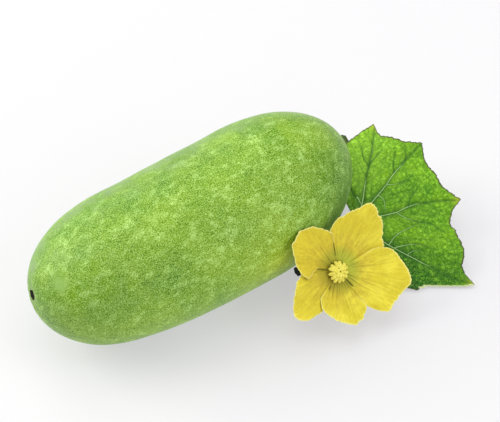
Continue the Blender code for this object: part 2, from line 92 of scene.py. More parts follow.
# Patches of the skin in other greens, among them painted shade and painted light: middle and reach
# in millimetres, strength
PATCHES = {
    # deep: darker green; the strongest one, at the stem end beside the leaf and flower, is painted
    # shade
    "deep_green_and_shade": (((-89, -32, 117), 30, 0.35), ((-3, 29, 127), 34, 0.3), ((130, -46, 78), 32, 1.0),
             ((-146, -14, 76), 24, 0.55)),
    "warm": (((-104, -55, 70), 30, 0.3), ((34, -66, 82), 34, 1.0), ((-12, -31, 125), 28, 0.4),
             ((74, -40, 122), 28, 0.45)),
    # golden: painted light, a brighter yellower patch beside the flower that lifts its shadow on
    # the skin
    "golden_painted_light": (((47, -67, 65), 17, 1.0), ((26, -66, 58), 20, 0.25)),
}
GOURD_SIDES = 256
CAP_RINGS = 84
BELLY_RINGS = 84

# Fruit stalk
STALK_CAP_ANGLE = math.radians(30)
STALK_TURN = math.radians(20)
STALK_SUNK = 3.5 * MM
STALK_RADII = [6.4 * MM, 5.4 * MM, 4.9 * MM, 4.9 * MM, 5.2 * MM]
STALK_STRAIGHT = 12 * MM

# Vine piece and the stalks that grow from its node; routes are in millimetres
VINE_RADIUS = 4.2 * MM
NODE_RADIUS = 6.6 * MM
VINE_NODE = (182, 5, 7)
VINE_ROUTE = [(78.5, -44, 5), (108, -42, 4.6), (138, -34, 4.6), (164, -18, 5.5), VINE_NODE,
              (193, 26, 6), (203, 46, 4.8), (208.5, 68.5, 5)]
FRUIT_STALK_ROUTE = [(167, 24, 20), (177, 17, 11), VINE_NODE]
PETIOLE_ROUTE = [VINE_NODE, (174, -13, 12), (160, -30, 16)]
PETIOLE_RADII = [3.4 * MM, 2.7 * MM, 2.2 * MM]
PETIOLE_STRAIGHT = 4 * MM
PEDICEL_ROUTE = [VINE_NODE, (166, -26, 6), (149, -40, 7), (134, -40, 13), (122, -40, 22),
                 (106, -50, 28)]
PEDICEL_RADII = [2.8 * MM, 2.1 * MM, 2.1 * MM]
PEDICEL_STRAIGHT = 5 * MM
PEDICEL_APPROACH = 14 * MM
PEDICEL_SWING = Vector((5, 2, -1)) * MM
CUT_HOLLOW = 0.8 * MM
# how far back the ends are darkened: the dry cut, and painted shade on the stubs
CUT_SHADE_LENGTH = 15 * MM
STEM_CLEARANCE = 0.2 * MM
STEM_VOXEL = 0.43 * MM
HAIR_COUNT = 900
HAIR_LENGTH = 1.3 * MM
HAIR_RADIUS = 0.09 * MM

# Leaf
LEAF_JOINT = Vector((145.8, -39.5, 25.4)) * MM
LEAF_UP = Vector((-0.221, -0.311, 0.924)).normalized()
MIDDLE_RIB = Vector((0.920, -0.382, 0.091))
RIB_ANGLES = (88, 66, 39.5, 2, -43, -64, -89, -116)
PUCKER = 2.6
EDGE_WAVE = 1.5
EDGE_WAVES = 9
FULL_PUCKER = 60
GROUND_CLEARANCE = 1.0
LEAF_MIDDLE_THICKNESS = 0.85
LEAF_EDGE_THICKNESS = 0.4
LEAF_ROWS = 84
LEAF_EDGE_STEP = 1.25
# The blade's margin as (degrees from the middle rib, millimetres from the joint)
MARGIN = (
    (104, 5), (103, 17), (101, 28), (98, 42), (95, 54), (91, 65), (86, 73), (81, 78),
    (73, 88), (66.8, 96.5), (64.4, 90), (61.5, 86.2), (57, 87), (50, 88.3), (48, 88), (43, 92.3),
    (38.6, 97.5), (35, 91.5), (31.2, 87), (25.5, 84.8), (20.5, 85.5), (12, 84.3), (8.5, 86),
    (0, 96.5), (-3.5, 89.5), (-7, 86), (-13, 83.8), (-15.5, 85), (-17.6, 89), (-20.5, 90.3),
    (-23.5, 94), (-28.5, 99.2), (-32.5, 100.8), (-36.5, 101.5), (-39.5, 107), (-42, 119),
    (-44.7, 113), (-51, 96.5), (-57, 85.8), (-60, 84), (-63, 83), (-68, 75), (-75, 70),
    (-82, 68), (-89, 70), (-95, 63), (-103, 59), (-111, 60), (-117, 61), (-122, 53),
    (-129, 47), (-136, 42), (-141, 30), (-144, 17), (-145, 5),
)
TOOTH_SPACING = 5.2
TOOTH_HEIGHT = 1.9
# Main veins from the joint outwards, in the same degrees and millimetres
MAIN_VEINS = (
    ((59, 3), (59.8, 20), (64.3, 41), (64.5, 56), (65.2, 79), (66.2, 95)),
    ((40, 3), (39.6, 24), (39.2, 40), (40.3, 58), (39.5, 80), (38.6, 96)),
    ((2, 3), (1.8, 24), (1.6, 37), (4.7, 50), (4.2, 62), (2, 80), (0, 94)),
    ((-51, 3), (-50.5, 32), (-46.4, 65), (-45.2, 82), (-44.2, 102), (-42, 116)),
    ((63, 18), (72.9, 23), (81.2, 26), (86, 45), (83, 74)),
    ((-72, 3), (-68, 35), (-63, 80)),
    ((-92, 3), (-90, 35), (-88, 67)),
    ((-118, 3), (-117, 30), (-116, 58)),
)
# Branches that stand out on the upper right half
BRANCHES = (
    ((64.3, 54.8), (70.2, 61.2), (72.4, 71.5)), ((63.8, 57), (60.5, 65.6), (57.6, 72.3)),
    ((40.9, 58.5), (45.6, 65.2), (49, 76.1)), ((39.5, 45.1), (32, 51.3), (26.9, 62.5)),
    ((40, 70.5), (40.8, 76.9), (44.3, 82.5)), ((39.8, 32.3), (27.6, 32.6), (9.7, 28.4)),
    ((1.6, 37), (-8, 44.6), (-12.5, 55), (-14.5, 66.6), (-19.7, 78.6)),
    ((4.4, 49.4), (11.8, 53.6), (16.4, 62.7)),
    ((-50.3, 36), (-32.5, 37.7), (-19.5, 47.5), (-12.1, 58.9)),
    ((-48.9, 41.3), (-39.7, 48.2), (-33.8, 58.5), (-33.5, 68.5)),
    ((-47.5, 54.4), (-40.8, 57.3), (-36.7, 63.8)),
)
VEIN_RADIUS = 0.52
BRANCH_RADIUS = 0.36
# How deep and how wide the grooves over the main veins, their branches and the finer ones are
VEIN_DEPTHS = (0.5, 0.38, 0.25)
VEIN_WIDTHS = (1.5, 1.1, 0.9)
# How far from the joint the raised veins stay pale, by degrees from the middle rib
PALE_TO = ((-51, 2, 40, 60), (84, 64, 76, 46))
PALE_FADE = 14
CELL_SIZE = 4.2
CELL_RELIEF = 0.42
LEAF_TIPS = ((66.2, 97), (0, 96.5), (-42, 119))
CURLED_EDGE = (-61, -42)  # degrees between which the margin is pale instead of dark

# Flower
FLOWER_CENTRE = Vector((87.4, -93.0, 49.8)) * MM
FLOWER_FACING = Vector((0.014, -0.739, 0.674)).normalized()
FLOWER_RIGHT = Vector((0.910, -0.269, -0.314))
CUP_HEIGHT = 9
CUP_RADIUS = 52
THROAT_RADIUS = 12
THROAT_DEPTH = 2.6
THROAT_THICKNESS = 1.3
PETAL_ROOT = 7.5
TUCK_FROM = 0.5
TUCK_OVER = 0.42
PETAL_THICKNESS = 0.8
PETAL_END_THICKNESS = 0.28
PETAL_WAVE = 1.4
PETAL_WAVES = 11
PETAL_COLUMNS = 120
PETAL_ROWS = 64
# Frills of a petal's end: waves across it, seed, height
EDGE_FRILLS = ((8, 1, 0.8), (27, 5, 0.95))
FOLD_HEIGHT = 0.5
RUFFLE_HEIGHT = 1.6
OUT_AT = 60  # millimetres from the middle at which the value called out is 1
# Each petal: middle and half width in degrees, step towards the viewer in millimetres, how
# much its anticlockwise edge is tucked in behind a hanging tip, and how far it reaches at nine
# places from its clockwise to its anticlockwise edge
PETALS = (
    (66, 40, -0.9, 0, (45, 48.5, 55.5, 58.5, 62.5, 54, 48.5, 43.5, 35)),
    (-10, 42, 1.0, 0, (38, 53.6, 56, 59, 63, 60, 55.5, 49.5, 36)),
    (-90, 39, 0.2, 0, (30, 37, 39.8, 41.6, 44.3, 47, 48, 44.7, 38.5)),
    (-150, 34, -1.8, 0, (30, 36.2, 42.8, 49.4, 54.5, 58.8, 57.5, 47, 39)),
    (147.5, 44.5, 0.8, 0.4, (33, 38.5, 45.5, 51.5, 53.6, 53.5, 45.5, 40, 33)),
)
PETAL_SHADES = (0.4, 0.1, 0.0, 0.5, 0.8)  # how much deeper each petal's yellow is
# Short slits between petals, grooved and painted dark as the shade in the gap: degrees, where each
# starts and ends, strength
SLIT_SHADES = ((-46.5, 11.0, 18.8, 1.0), (104, 13.5, 23.5, 0.9), (-121, 15.5, 19, 0.6))
SLIT_DEPTH = 0.7
STAMEN_FOOT = 4.5
STAMEN_ASIDE = Vector((-2.0, -1.3, 0)) * MM  # the head leans this far from the throat's middle
# Rings of knobs: how many, start and end from the axis, height of each, thickness
STAMEN_KNOBS = ((13, 5.2, 8.3, 6.0, 3.8, 1.66), (8, 1.5, 3.9, 6.9, 7.0, 1.32))
# Height of the head's crest by distance from its axis; what lies deeper is painted darker, as
# painted shade between the knobs
STAMEN_CREST = ((0, 4, 5.5, 8, 10), (7.8, 7.9, 7.0, 4.9, 2.2))
STAMEN_VOXEL = 0.2 * MM
CALYX_RADIUS = 6.5
CALYX_LENGTH = 12
CALYX_PROFILE = ((0.43, 0), (0.47, 0.15), (0.85, 0.5), (1.0, 0.8), (0.96, 1.0))
SEPAL_COUNT = 5
SEPAL_TURN = math.radians(32)
SEPAL_LENGTH = 15
SEPAL_WIDTH = 3.6
SEPAL_DROOP = 1.2
SEPAL_FLATNESS = 0.42
CALYX_VOXEL = 0.35 * MM
GAP = 0.3

# Stage and lights; the floor's colours are linear values
FLOOR_HALF = 30
FLOOR_TONES = ((0.425, 0.435, 0.40, 1), (0.435, 0.445, 0.41, 1))
FLOOR_GLOW = (0.926, 0.88, 1.0, 1)
FLOOR_GLOW_STRENGTH = 0.48
SKY = 0.05
LAMP_TARGET = (0, 0, 0.05)
# Each lamp: name, place, size and power
LAMPS = (
    ("key", (-1.8, 1.6, 1.6), 2.2, 68), ("overhead", (0.1, 0.2, 2.2), 2.4, 26),
    ("front_left", (-1.2, -1.6, 1.6), 1.8, 6.5), ("front_right", (1.2, -1.6, 1.6), 1.8, 19),
    ("back", (0.3, 2.0, 1.3), 1.8, 15), ("right", (2.0, 0.3, 1.2), 1.6, 4),
    ("low_front", (0.3, -2.2, 0.7), 1.2, 9.5),
)

# Camera: the photograph's viewing angle
CAMERA_PLACE = Vector((-550.416, -909.766, 1273.372)) * MM
CAMERA_TARGET = Vector((48.137, -15.659, 78.395)) * MM
LENS = 135


# Small tools

def smooth_step(t):
    t = np.clip(t, 0.0, 1.0)
    return t * t * (3 - 2 * t)


def bell(distance, width):
    return np.exp(-((distance / width) ** 2))


def turns(sides):
    """The angles of evenly spaced places round a circle."""
    return np.arange(sides) * 2 * math.pi / sides


def circle(turn, reach):
    return np.stack([np.cos(turn) * reach, np.sin(turn) * reach], -1)


def polar(degrees, reach):
    return circle(np.radians(degrees), reach)


def lengths(vectors):
    return np.linalg.norm(vectors, axis=-1)


def unit(vectors):
    return vectors / np.linalg.norm(vectors, axis=-1, keepdims=True)


def away_from(points, place):
    return lengths(points - np.array(place))


def noise_at(points, scale, seed=0.0):
    """Smooth noise of about -1 to 1 at each point."""
    shift = Vector((seed, seed * 1.7, -seed))
    return np.array([noise.noise(Vector(p) * scale + shift) for p in points])


def noise_along(line, scale, seed, aside=0):
    return noise_at([(at, aside, 0) for at in line], scale, seed)


def catmull(points, steps):
    """Points on one smooth curve through the given ones."""
    known = np.array([tuple(p) for p in points], float)
    ends = np.vstack([2 * known[0] - known[1], known, 2 * known[-1] - known[-2]])
    t = (np.arange(steps) / steps)[:, None]
    found = []
    for before, start, end, after in zip(ends, ends[1:], ends[2:], ends[3:]):
        bend = (2 * before - 5 * start + 4 * end - after) * t**2
        twist = (3 * start - before - 3 * end + after) * t**3
        found.append((2 * start + (end - before) * t + bend + twist) / 2)
    return np.vstack([*found, known[-1:]])


def along_line(line):
    """How far along a polyline each of its points is."""
    return np.concatenate([[0], np.cumsum(lengths(np.diff(line, axis=0)))])


def line_at(line, at, samples):
    """Flat points at the given distances along a polyline."""
    return np.stack([np.interp(samples, at, line[:, i]) for i in (0, 1)], 1)


def grid_faces(rows, columns, wrap=False):
    """Quads between rows x columns points; wrap joins the last column to the first."""
    row = np.arange(rows - 1)[:, None]
    column = np.arange(columns if wrap else columns - 1)[None]
    after = (column + 1) % columns
    corners = [row * columns + column, row * columns + after,
               (row + 1) * columns + after, (row + 1) * columns + column]
    return np.stack([np.broadcast_to(c, (rows - 1, column.size)).ravel() for c in corners], 1)


def closed_faces(rows, sides, flip=False):
    """Faces of a row of rings, closed at each end by a fan round one more point."""
    end = rows * sides
    faces = grid_faces(rows, sides, wrap=True).tolist()
    for side in range(sides):
        after = (side + 1) % sides
        faces += [[end, after, side], [end + 1, end - sides + side, end - sides + after]]
    return [face[::-1] for face in faces] if flip else faces


def mesh_object(name, points, faces, material=None, place=None, values=None):
    """A smooth-shaded mesh; values are named numbers, one for each point."""
    mesh = bpy.data.meshes.new(name)
    mesh.from_pydata(np.asarray(points).tolist(), [], [list(map(int, f)) for f in faces])
    for key, numbers in (values or {}).items():
        add_value(mesh, key, numbers)
    mesh.shade_smooth()
    if material:
        mesh.materials.append(material)
    thing = bpy.data.objects.new(name, mesh)
    bpy.context.scene.collection.objects.link(thing)
    if place is not None:
        mesh.transform(place)
    return thing


def sheet(name, upper, lower, top, look, place, values):
    """A thin closed sheet, in millimetres: top faces, the same below, walls round the border.

    A value that has no number for the last point is 0 there.
    """
    count = len(upper)
    edges = dict.fromkeys((a, b) for face in top for a, b in zip(face, face[1:] + face[:1]))
    walls = [(b, a, count + a, count + b) for a, b in edges if (b, a) not in edges]
    faces = top + [[count + corner for corner in face[::-1]] for face in top] + walls
    values = {key: np.tile(np.append(numbers, np.zeros(count - len(numbers))), 2)
              for key, numbers in values.items()}
    return mesh_object(name, np.vstack([upper, lower]) * MM, faces, look, place, values)


def add_value(mesh, key, numbers):
    layer = mesh.attributes.new(key, "FLOAT", "POINT")
    layer.data.foreach_set("value", np.asarray(numbers, np.float32))


def points_of(thing, what="co"):
    found = np.empty(len(thing.data.vertices) * 3, np.float32)
    thing.data.vertices.foreach_get(what, found)
    return found.reshape(-1, 3).astype(float)


def move_points(thing, points):
    thing.data.vertices.foreach_set("co", points.ravel())


def keep(thing, slot, *nodes):
    """The piece belongs to the one body and stands for nodes, whose parts it hides; the slot is not
    used.
    """
    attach(thing, "root")
    if nodes:
        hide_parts(*nodes)


def join(name, things):
    """One object from several, each with its points already in place."""
    with bpy.context.temp_override(active_object=things[0], object=things[0],
                                   selected_objects=things, selected_editable_objects=things):
        bpy.ops.object.join()
    things[0].name = things[0].data.name = name
    return things[0]


def grow_together(thing, voxel, smoothing):
    """Overlapping closed shells become one skin with soft joints."""
    remesh = thing.modifiers.new("remesh", "REMESH")
    remesh.mode = "VOXEL"
    remesh.voxel_size = voxel
    relax = thing.modifiers.new("relax", "SMOOTH")
    relax.factor = 0.5
    relax.iterations = smoothing
    bpy.context.view_layer.update()
    evaluated = thing.evaluated_get(bpy.context.evaluated_depsgraph_get())
    mesh = bpy.data.meshes.new_from_object(evaluated)
    thing.modifiers.clear()
    thing.data = mesh
    mesh.shade_smooth()
    return thing


def face_frame(up, along, origin):
    across = up.cross(along).normalized()
    place = Matrix((across.cross(up), across, up)).transposed().to_4x4()
    place.translation = origin
    return place


# Materials. A colour of three parts is given as 0 to 255, as a screen shows it.

def linear(colour):
    parts = [c / 255 for c in colour]
    return (*[c / 12.92 if c <= 0.04045 else ((c + 0.055) / 1.055) ** 2.4 for c in parts], 1)


class Look:
    """Builds one material's nodes around a Principled shader; base is its colour so far."""

    def __init__(self, name, roughness, specular):
        self.material = bpy.data.materials.new(name)
        self.material.use_nodes = True
        self.tree = self.material.node_tree
        self.shader = self.tree.nodes["Principled BSDF"]
        self.fill({"Roughness": roughness, "Specular IOR Level": specular})
        self.place = self.node("TexCoord").outputs["Object"]

    def fill(self, inputs, node=None):
        """Fills inputs of a node, or of the shader, with sockets, plain values or colours."""
        for key, value in inputs.items():
            socket = (node or self.shader).inputs[key]
            if isinstance(value, bpy.types.NodeSocket):
                self.tree.links.new(value, socket)
            elif isinstance(value, tuple) and len(value) == 3:
                socket.default_value = linear(value)
            else:
                socket.default_value = value

    def node(self, kind, inputs=None, **settings):
        node = self.tree.nodes.new("ShaderNode" + kind)
        for key, setting in settings.items():
            setattr(node, key, setting)
        self.fill(inputs or {}, node)
        return node

    def value(self, key):
        return self.node("Attribute", attribute_name=key).outputs["Fac"]

    def noise(self, scale, detail=2.0, rough=0.5, at=None):
        inputs = {"Vector": at or self.place, "Scale": scale, "Detail": detail, "Roughness": rough}
        return self.node("TexNoise", inputs).outputs["Fac"]

    def math(self, operation, a, b):
        return self.node("Math", {0: a, 1: b}, operation=operation).outputs[0]

    def times(self, a, b):
        return self.math("MULTIPLY", a, b)

    def span(self, value, low, high, to_low=0.0, to_high=1.0):
        """value, stretched from low..high to to_low..to_high with soft ends."""
        inputs = dict(enumerate((value, low, high, to_low, to_high)))
        return self.node("MapRange", inputs, interpolation_type="SMOOTHSTEP").outputs[0]

    def mix(self, share, a, b, blend="MIX"):
        return self.node("Mix", {"Factor": share, 6: a, 7: b}, data_type="RGBA", blend_type=blend,
                         clamp_result=True).outputs[2]

    def lay(self, share, colour, weight=1.0):
        """Covers a share of the base with a colour; the share may be a value's name."""
        share = self.value(share) if isinstance(share, str) else share
        if weight != 1.0:
            share = self.times(share, weight)
        self.base = self.mix(share, self.base, colour)

    def speckle(self, value, tone, lighter, darker, where=1.0):
        """Adds a share of tone to the base where a noise is high, and takes it off where low."""
        for blend, ends, most in (("ADD", (0.5, 0.72), lighter), ("SUBTRACT", (0.5, 0.28), darker)):
            share = self.times(self.span(value, *ends, 0.0, most), where)
            self.base = self.mix(share, self.base, tone, blend)

    def sheen(self, weight, roughness, tint):
        self.fill({"Sheen Weight": weight, "Sheen Roughness": roughness, "Sheen Tint": tint})

    def done(self, height=None, strength=0.0, depth=0.0):
        """The material with its base colour, and a bump of a depth in millimetres."""
        self.fill({"Base Color": self.base})
        if height:
            bump = self.node("Bump", {"Strength": strength, "Distance": depth * MM,
                                      "Height": height})
            self.fill({"Normal": bump.outputs[0]})
        return self.material


def two_tone(name, roughness, specular, grain, dark, light):
    """A look that wanders between two colours with a noise."""
    look = Look(name, roughness, specular)
    look.base = look.mix(look.noise(*grain), dark, light)
    return look


def skin_look():
    """Waxy light-green skin: fine grain, soft pale flecks, grey bloom that is partly painted sheen,
    painted shade and light by the flower.
    """
    look = Look("gourd_skin_fine", 0.5, 0.3)
    bloom_and_sheen, spot = look.value("bloom_and_sheen"), look.value("spot")
    patch = look.span(look.noise(22, 3, 0.6), 0.34, 0.66)
    look.base = look.mix(patch, (117, 161, 42), (140, 179, 51))
    # darker green, and painted shade at the stem end beside the leaf and flower
    look.lay("deep_green_and_shade", (84, 128, 10), 0.66)
    look.lay("warm", (154, 188, 52), 0.7)
    # painted light beside the flower
    look.lay("golden_painted_light", (178, 202, 14), 0.85)
    veiled = look.math("MAXIMUM", look.times(bloom_and_sheen, 0.45), look.times(spot, 0.7))
    clear = look.math("SUBTRACT", 1.0, veiled)
    stretched = look.node("Mapping", {"Vector": look.place, "Scale": [0.7, 1, 1]}).outputs[0]
    flecks = look.noise(150, 2, 0.6, stretched)
    look.speckle(flecks, (190, 214, 160), 0.26, 0.07, clear)
    grain = look.noise(1080, 1, 0.6)
    look.speckle(grain, (190, 214, 160), 0.4, 0.36, clear)
    look.lay(spot, (160, 198, 112), 0.5)
    cloudy = look.span(look.noise(55, 4, 0.65), 0.4, 0.64, 0.1, 1.0)
    # grey waxy bloom, partly a painted sheen along the upper rim
    look.lay(look.times(bloom_and_sheen, cloudy), (146, 172, 126))
    look.lay("scar", (150, 166, 96))
    look.fill({"Roughness": look.span(flecks, 0.3, 0.7, 0.42, 0.58)})
    look.sheen(0.22, 0.4, (196, 214, 190))
    return look.done(look.math("ADD", look.times(grain, 0.6), look.noise(1300, 1, 0.5)), 0.2, 0.2)


def scar_look():
    look = two_tone("blossom_scar_dry", 0.85, 0.2, (1200, 3, 0.6), (8, 8, 5), (38, 32, 22))
    return look.done(look.noise(1200, 3, 0.6), 0.6, 0.3)


def stem_look():
    """Ridged green stem, darker on its cut ends: partly the dry cut, partly painted shade on the
    stubs.
    """
    look = Look("green_stem_fine", 0.65, 0.2)
    streaks = look.span(look.noise(160, 4, 0.6), 0.35, 0.65)
    look.base = look.mix(streaks, (62, 92, 34), (112, 142, 66))
    look.lay("ridge", (150, 176, 100), 0.5)
    # nearly black ends: dry cut ends, and painted shade along the stubs
    look.lay("cut", (12, 15, 7))
    return look.done(look.noise(900, 3, 0.6), 0.35, 0.3)


def hair_look():
    return two_tone("stem_hair", 0.5, 0.4, (300,), (170, 186, 140), (206, 214, 180)).done()


def leaf_look():
    """Fresh blade: softly puffed cells, dark veins, deeper green below, painted shade near the
    joint and beside the main veins, and painted light on the upper part.
    """
    look = Look("leaf_fine", 0.5, 0.2)
    patch = look.span(look.noise(45, 4, 0.65), 0.32, 0.68)
    look.base = look.mix(patch, (98, 158, 20), (134, 189, 26))
    look.lay("low", look.mix(patch, (26, 88, 4), (50, 118, 6)))
    # painted light: the upper part of the blade lighter, lifting the gourd's shadow there
    look.lay("painted_sunlight", (160, 208, 60), 0.5)
    mottle = look.noise(330, 3, 0.7)
    look.lay(look.span(mottle, 0.52, 0.35, 0.0, 0.2), (52, 112, 6))
    puffed = look.times(look.span(look.value("cell"), 0.3, 1.0), look.span(mottle, 0.4, 0.6))
    look.lay(puffed, (150, 206, 30), 0.3)
    look.speckle(look.noise(300, 2, 0.6), (160, 205, 80), 0.38, 0.12)
    look.speckle(look.noise(900, 1, 0.6), (160, 205, 80), 0.36, 0.16)
    look.lay("net", (46, 104, 8), 0.34)
    look.lay("side_vein", (44, 100, 16), 0.65)
    # painted shade in the grooves beside the main veins
    look.lay("flank_shade", (34, 90, 18), 0.75)
    # painted shade near the joint, beside the gourd
    look.lay("base", (36, 96, 22), 0.6)
    look.lay("tip", (184, 196, 50))
    look.lay("edge", (74, 62, 46))
    look.lay("pale_edge", (222, 232, 170))
    look.lay("underside", (128, 160, 96))
    return look.done(look.math("ADD", mottle, look.noise(900, 2)), 0.3, 0.25)


def vein_look():
    look = Look("leaf_vein_fine", 0.5, 0.35)
    look.base = (48, 100, 28)
    look.lay("pale", look.mix(look.noise(300), (170, 214, 130), (200, 230, 168)))
    return look.done()


def petal_look():
    """Soft yellow with olive streaks that fan out of a green throat, and a paler rim."""
    look = Look("petal_fine", 0.6, 0.2)
    out, side = look.value("out"), look.value("side")
    patch = look.span(look.noise(60, 2), 0.35, 0.65)
    look.base = look.mix(patch, (229, 213, 56), (245, 232, 74))
    look.lay("shade", (222, 202, 50))
    streak, fine = [
        look.noise(1.0, detail, 0.6, look.node("CombineXYZ", {
            0: look.times(side, across), 1: look.times(out, along), 2: shift}).outputs[0])
        for detail, across, along, shift in ((3, 8.0, 2.4, 0.0), (2, 30.0, 5.0, 3.0))]
    look.lay(look.span(fine, 0.52, 0.30, 0.0, 0.36), (196, 168, 36))
    tan = look.span(look.noise(110, 3, 0.6), 0.38, 0.62, 0.1, 0.72)
    look.lay(look.times(tan, look.span(out, 0.66, 0.36)), (206, 180, 54))
    look.speckle(look.noise(480, 2, 0.6), (190, 176, 70), 0.08, 0.12)
    lines = look.span(streak, 0.5, 0.34)
    reach = look.times(lines, look.span(out, 0.75, 0.22, 0.10, 0.75))
    look.lay(look.math("MAXIMUM", reach, look.times(look.value("vein"), 0.5)), (168, 146, 34))
    throat = look.mix(look.value("lean"), (170, 156, 42), (186, 196, 62))
    throat = look.mix(look.times(lines, 0.6), throat, (100, 102, 26))
    throat = look.mix(look.span(fine, 0.52, 0.32, 0.0, 0.4), throat, (120, 124, 36))
    look.lay(look.span(out, 0.42, 0.2, 0.0, 0.9), throat)
    look.lay("rim", (254, 251, 160), 0.85)
    # painted shade in the slits between petals
    look.lay("slit_shade", (44, 38, 10))
    look.sheen(0.12, 0.5, (255, 250, 200))
    return look.done(look.math("ADD", fine, streak), 0.3, 0.25)


def stamen_look():
    look = Look("stamen_fine", 0.75, 0.2)
    # deeper parts darker: painted shade in the gaps between the knobs
    look.base = look.mix(look.span(look.value("height"), 0.1, 0.62), (70, 54, 8), (240, 228, 94))
    look.lay(look.span(look.noise(900, 2), 0.45, 0.7, 0.0, 0.6), (248, 242, 138))
    return look.done(look.noise(1500, 2), 0.35, 0.2)


def calyx_look():
    look = two_tone("calyx_fine", 0.65, 0.3, (220, 3), (96, 130, 52), (150, 176, 88))
    return look.done(look.noise(900, 2), 0.3, 0.3)


def floor_look():
    """Pale and matt, with a little light of its own, which keeps the soft shadow light."""
    look = two_tone("pale_floor", 0.9, 0.0, (0.6, 1), *FLOOR_TONES)
    look.fill({"Emission Color": FLOOR_GLOW, "Emission Strength": FLOOR_GLOW_STRENGTH})
    return look.done()


# Gourd

def belly_radius(x):
    towards_blossom = smooth_step((SLIMMING_FROM - x) / SLIMMING_OVER)
    waist = WAIST_DEPTH * bell(x - WAIST_AT, WAIST_WIDTH)
    return GOURD_RADIUS * (1 - BLOSSOM_SLIMMING * towards_blossom) - waist


def axis_points(x):
    along = x / STEM_END
    rise = STEM_END_RISE * np.maximum(along, 0) ** 2
    return np.stack([x, SIDE_BEND * along**2, belly_radius(x) - FLAT_DEPTH + rise], -1)


def cap_shape(x):
    blossom = (np.maximum(BLOSSOM_SHOULDER - x, 0) / BLOSSOM_CAP) ** BLOSSOM_FULLNESS
    stem = (np.maximum(x - STEM_SHOULDER, 0) / STEM_CAP) ** STEM_FULLNESS
    return np.sqrt(np.maximum(1 - blossom - stem, 0))


def hollow(x, turn):
    facing = (0.5 + 0.5 * np.cos(turn - HOLLOW_TURN)) ** 3
    return HOLLOW_DEPTH * bell(x - HOLLOW_AT, HOLLOW_WIDTH) * facing


def stalk_joint():
    """Where the fruit stalk meets the gourd, and the way that it leaves."""
    past = math.cos(STALK_CAP_ANGLE)
    x = STEM_SHOULDER + STEM_CAP * past
    shape = float(cap_shape(x))
    aside = Vector((0, math.sin(STALK_TURN), -math.cos(STALK_TURN)))
    point = Vector(axis_points(np.array(x))) + aside * float(belly_radius(x)) * shape
    steepness = STEM_FULLNESS / 2 * past ** (STEM_FULLNESS - 1)
    outward = Vector((steepness / STEM_CAP, 0, 0)) + aside * shape / GOURD_RADIUS
    return point, outward.normalized()


def scar_middle():
    """The middle of the blossom scar, at the bottom of its dimple."""
    aside = math.hypot(*SCAR_ASIDE[1:]) / float(belly_radius(BLOSSOM_END))
    x = BLOSSOM_SHOULDER - BLOSSOM_CAP * (1 - aside**2) ** (1 / BLOSSOM_FULLNESS)
    middle = axis_points(np.array(BLOSSOM_END)) + SCAR_ASIDE
    middle[0] = x + SCAR_DEPTH
    return middle


def gourd_rings():
    turn = np.linspace(0, math.pi / 2, CAP_RINGS, endpoint=False)
    blossom = BLOSSOM_SHOULDER - BLOSSOM_CAP * np.cos(turn[1:])
    belly = np.linspace(BLOSSOM_SHOULDER, STEM_SHOULDER, BELLY_RINGS)
    stem = STEM_SHOULDER + STEM_CAP * np.sin(turn[1:])
    return np.concatenate([blossom, belly, stem])


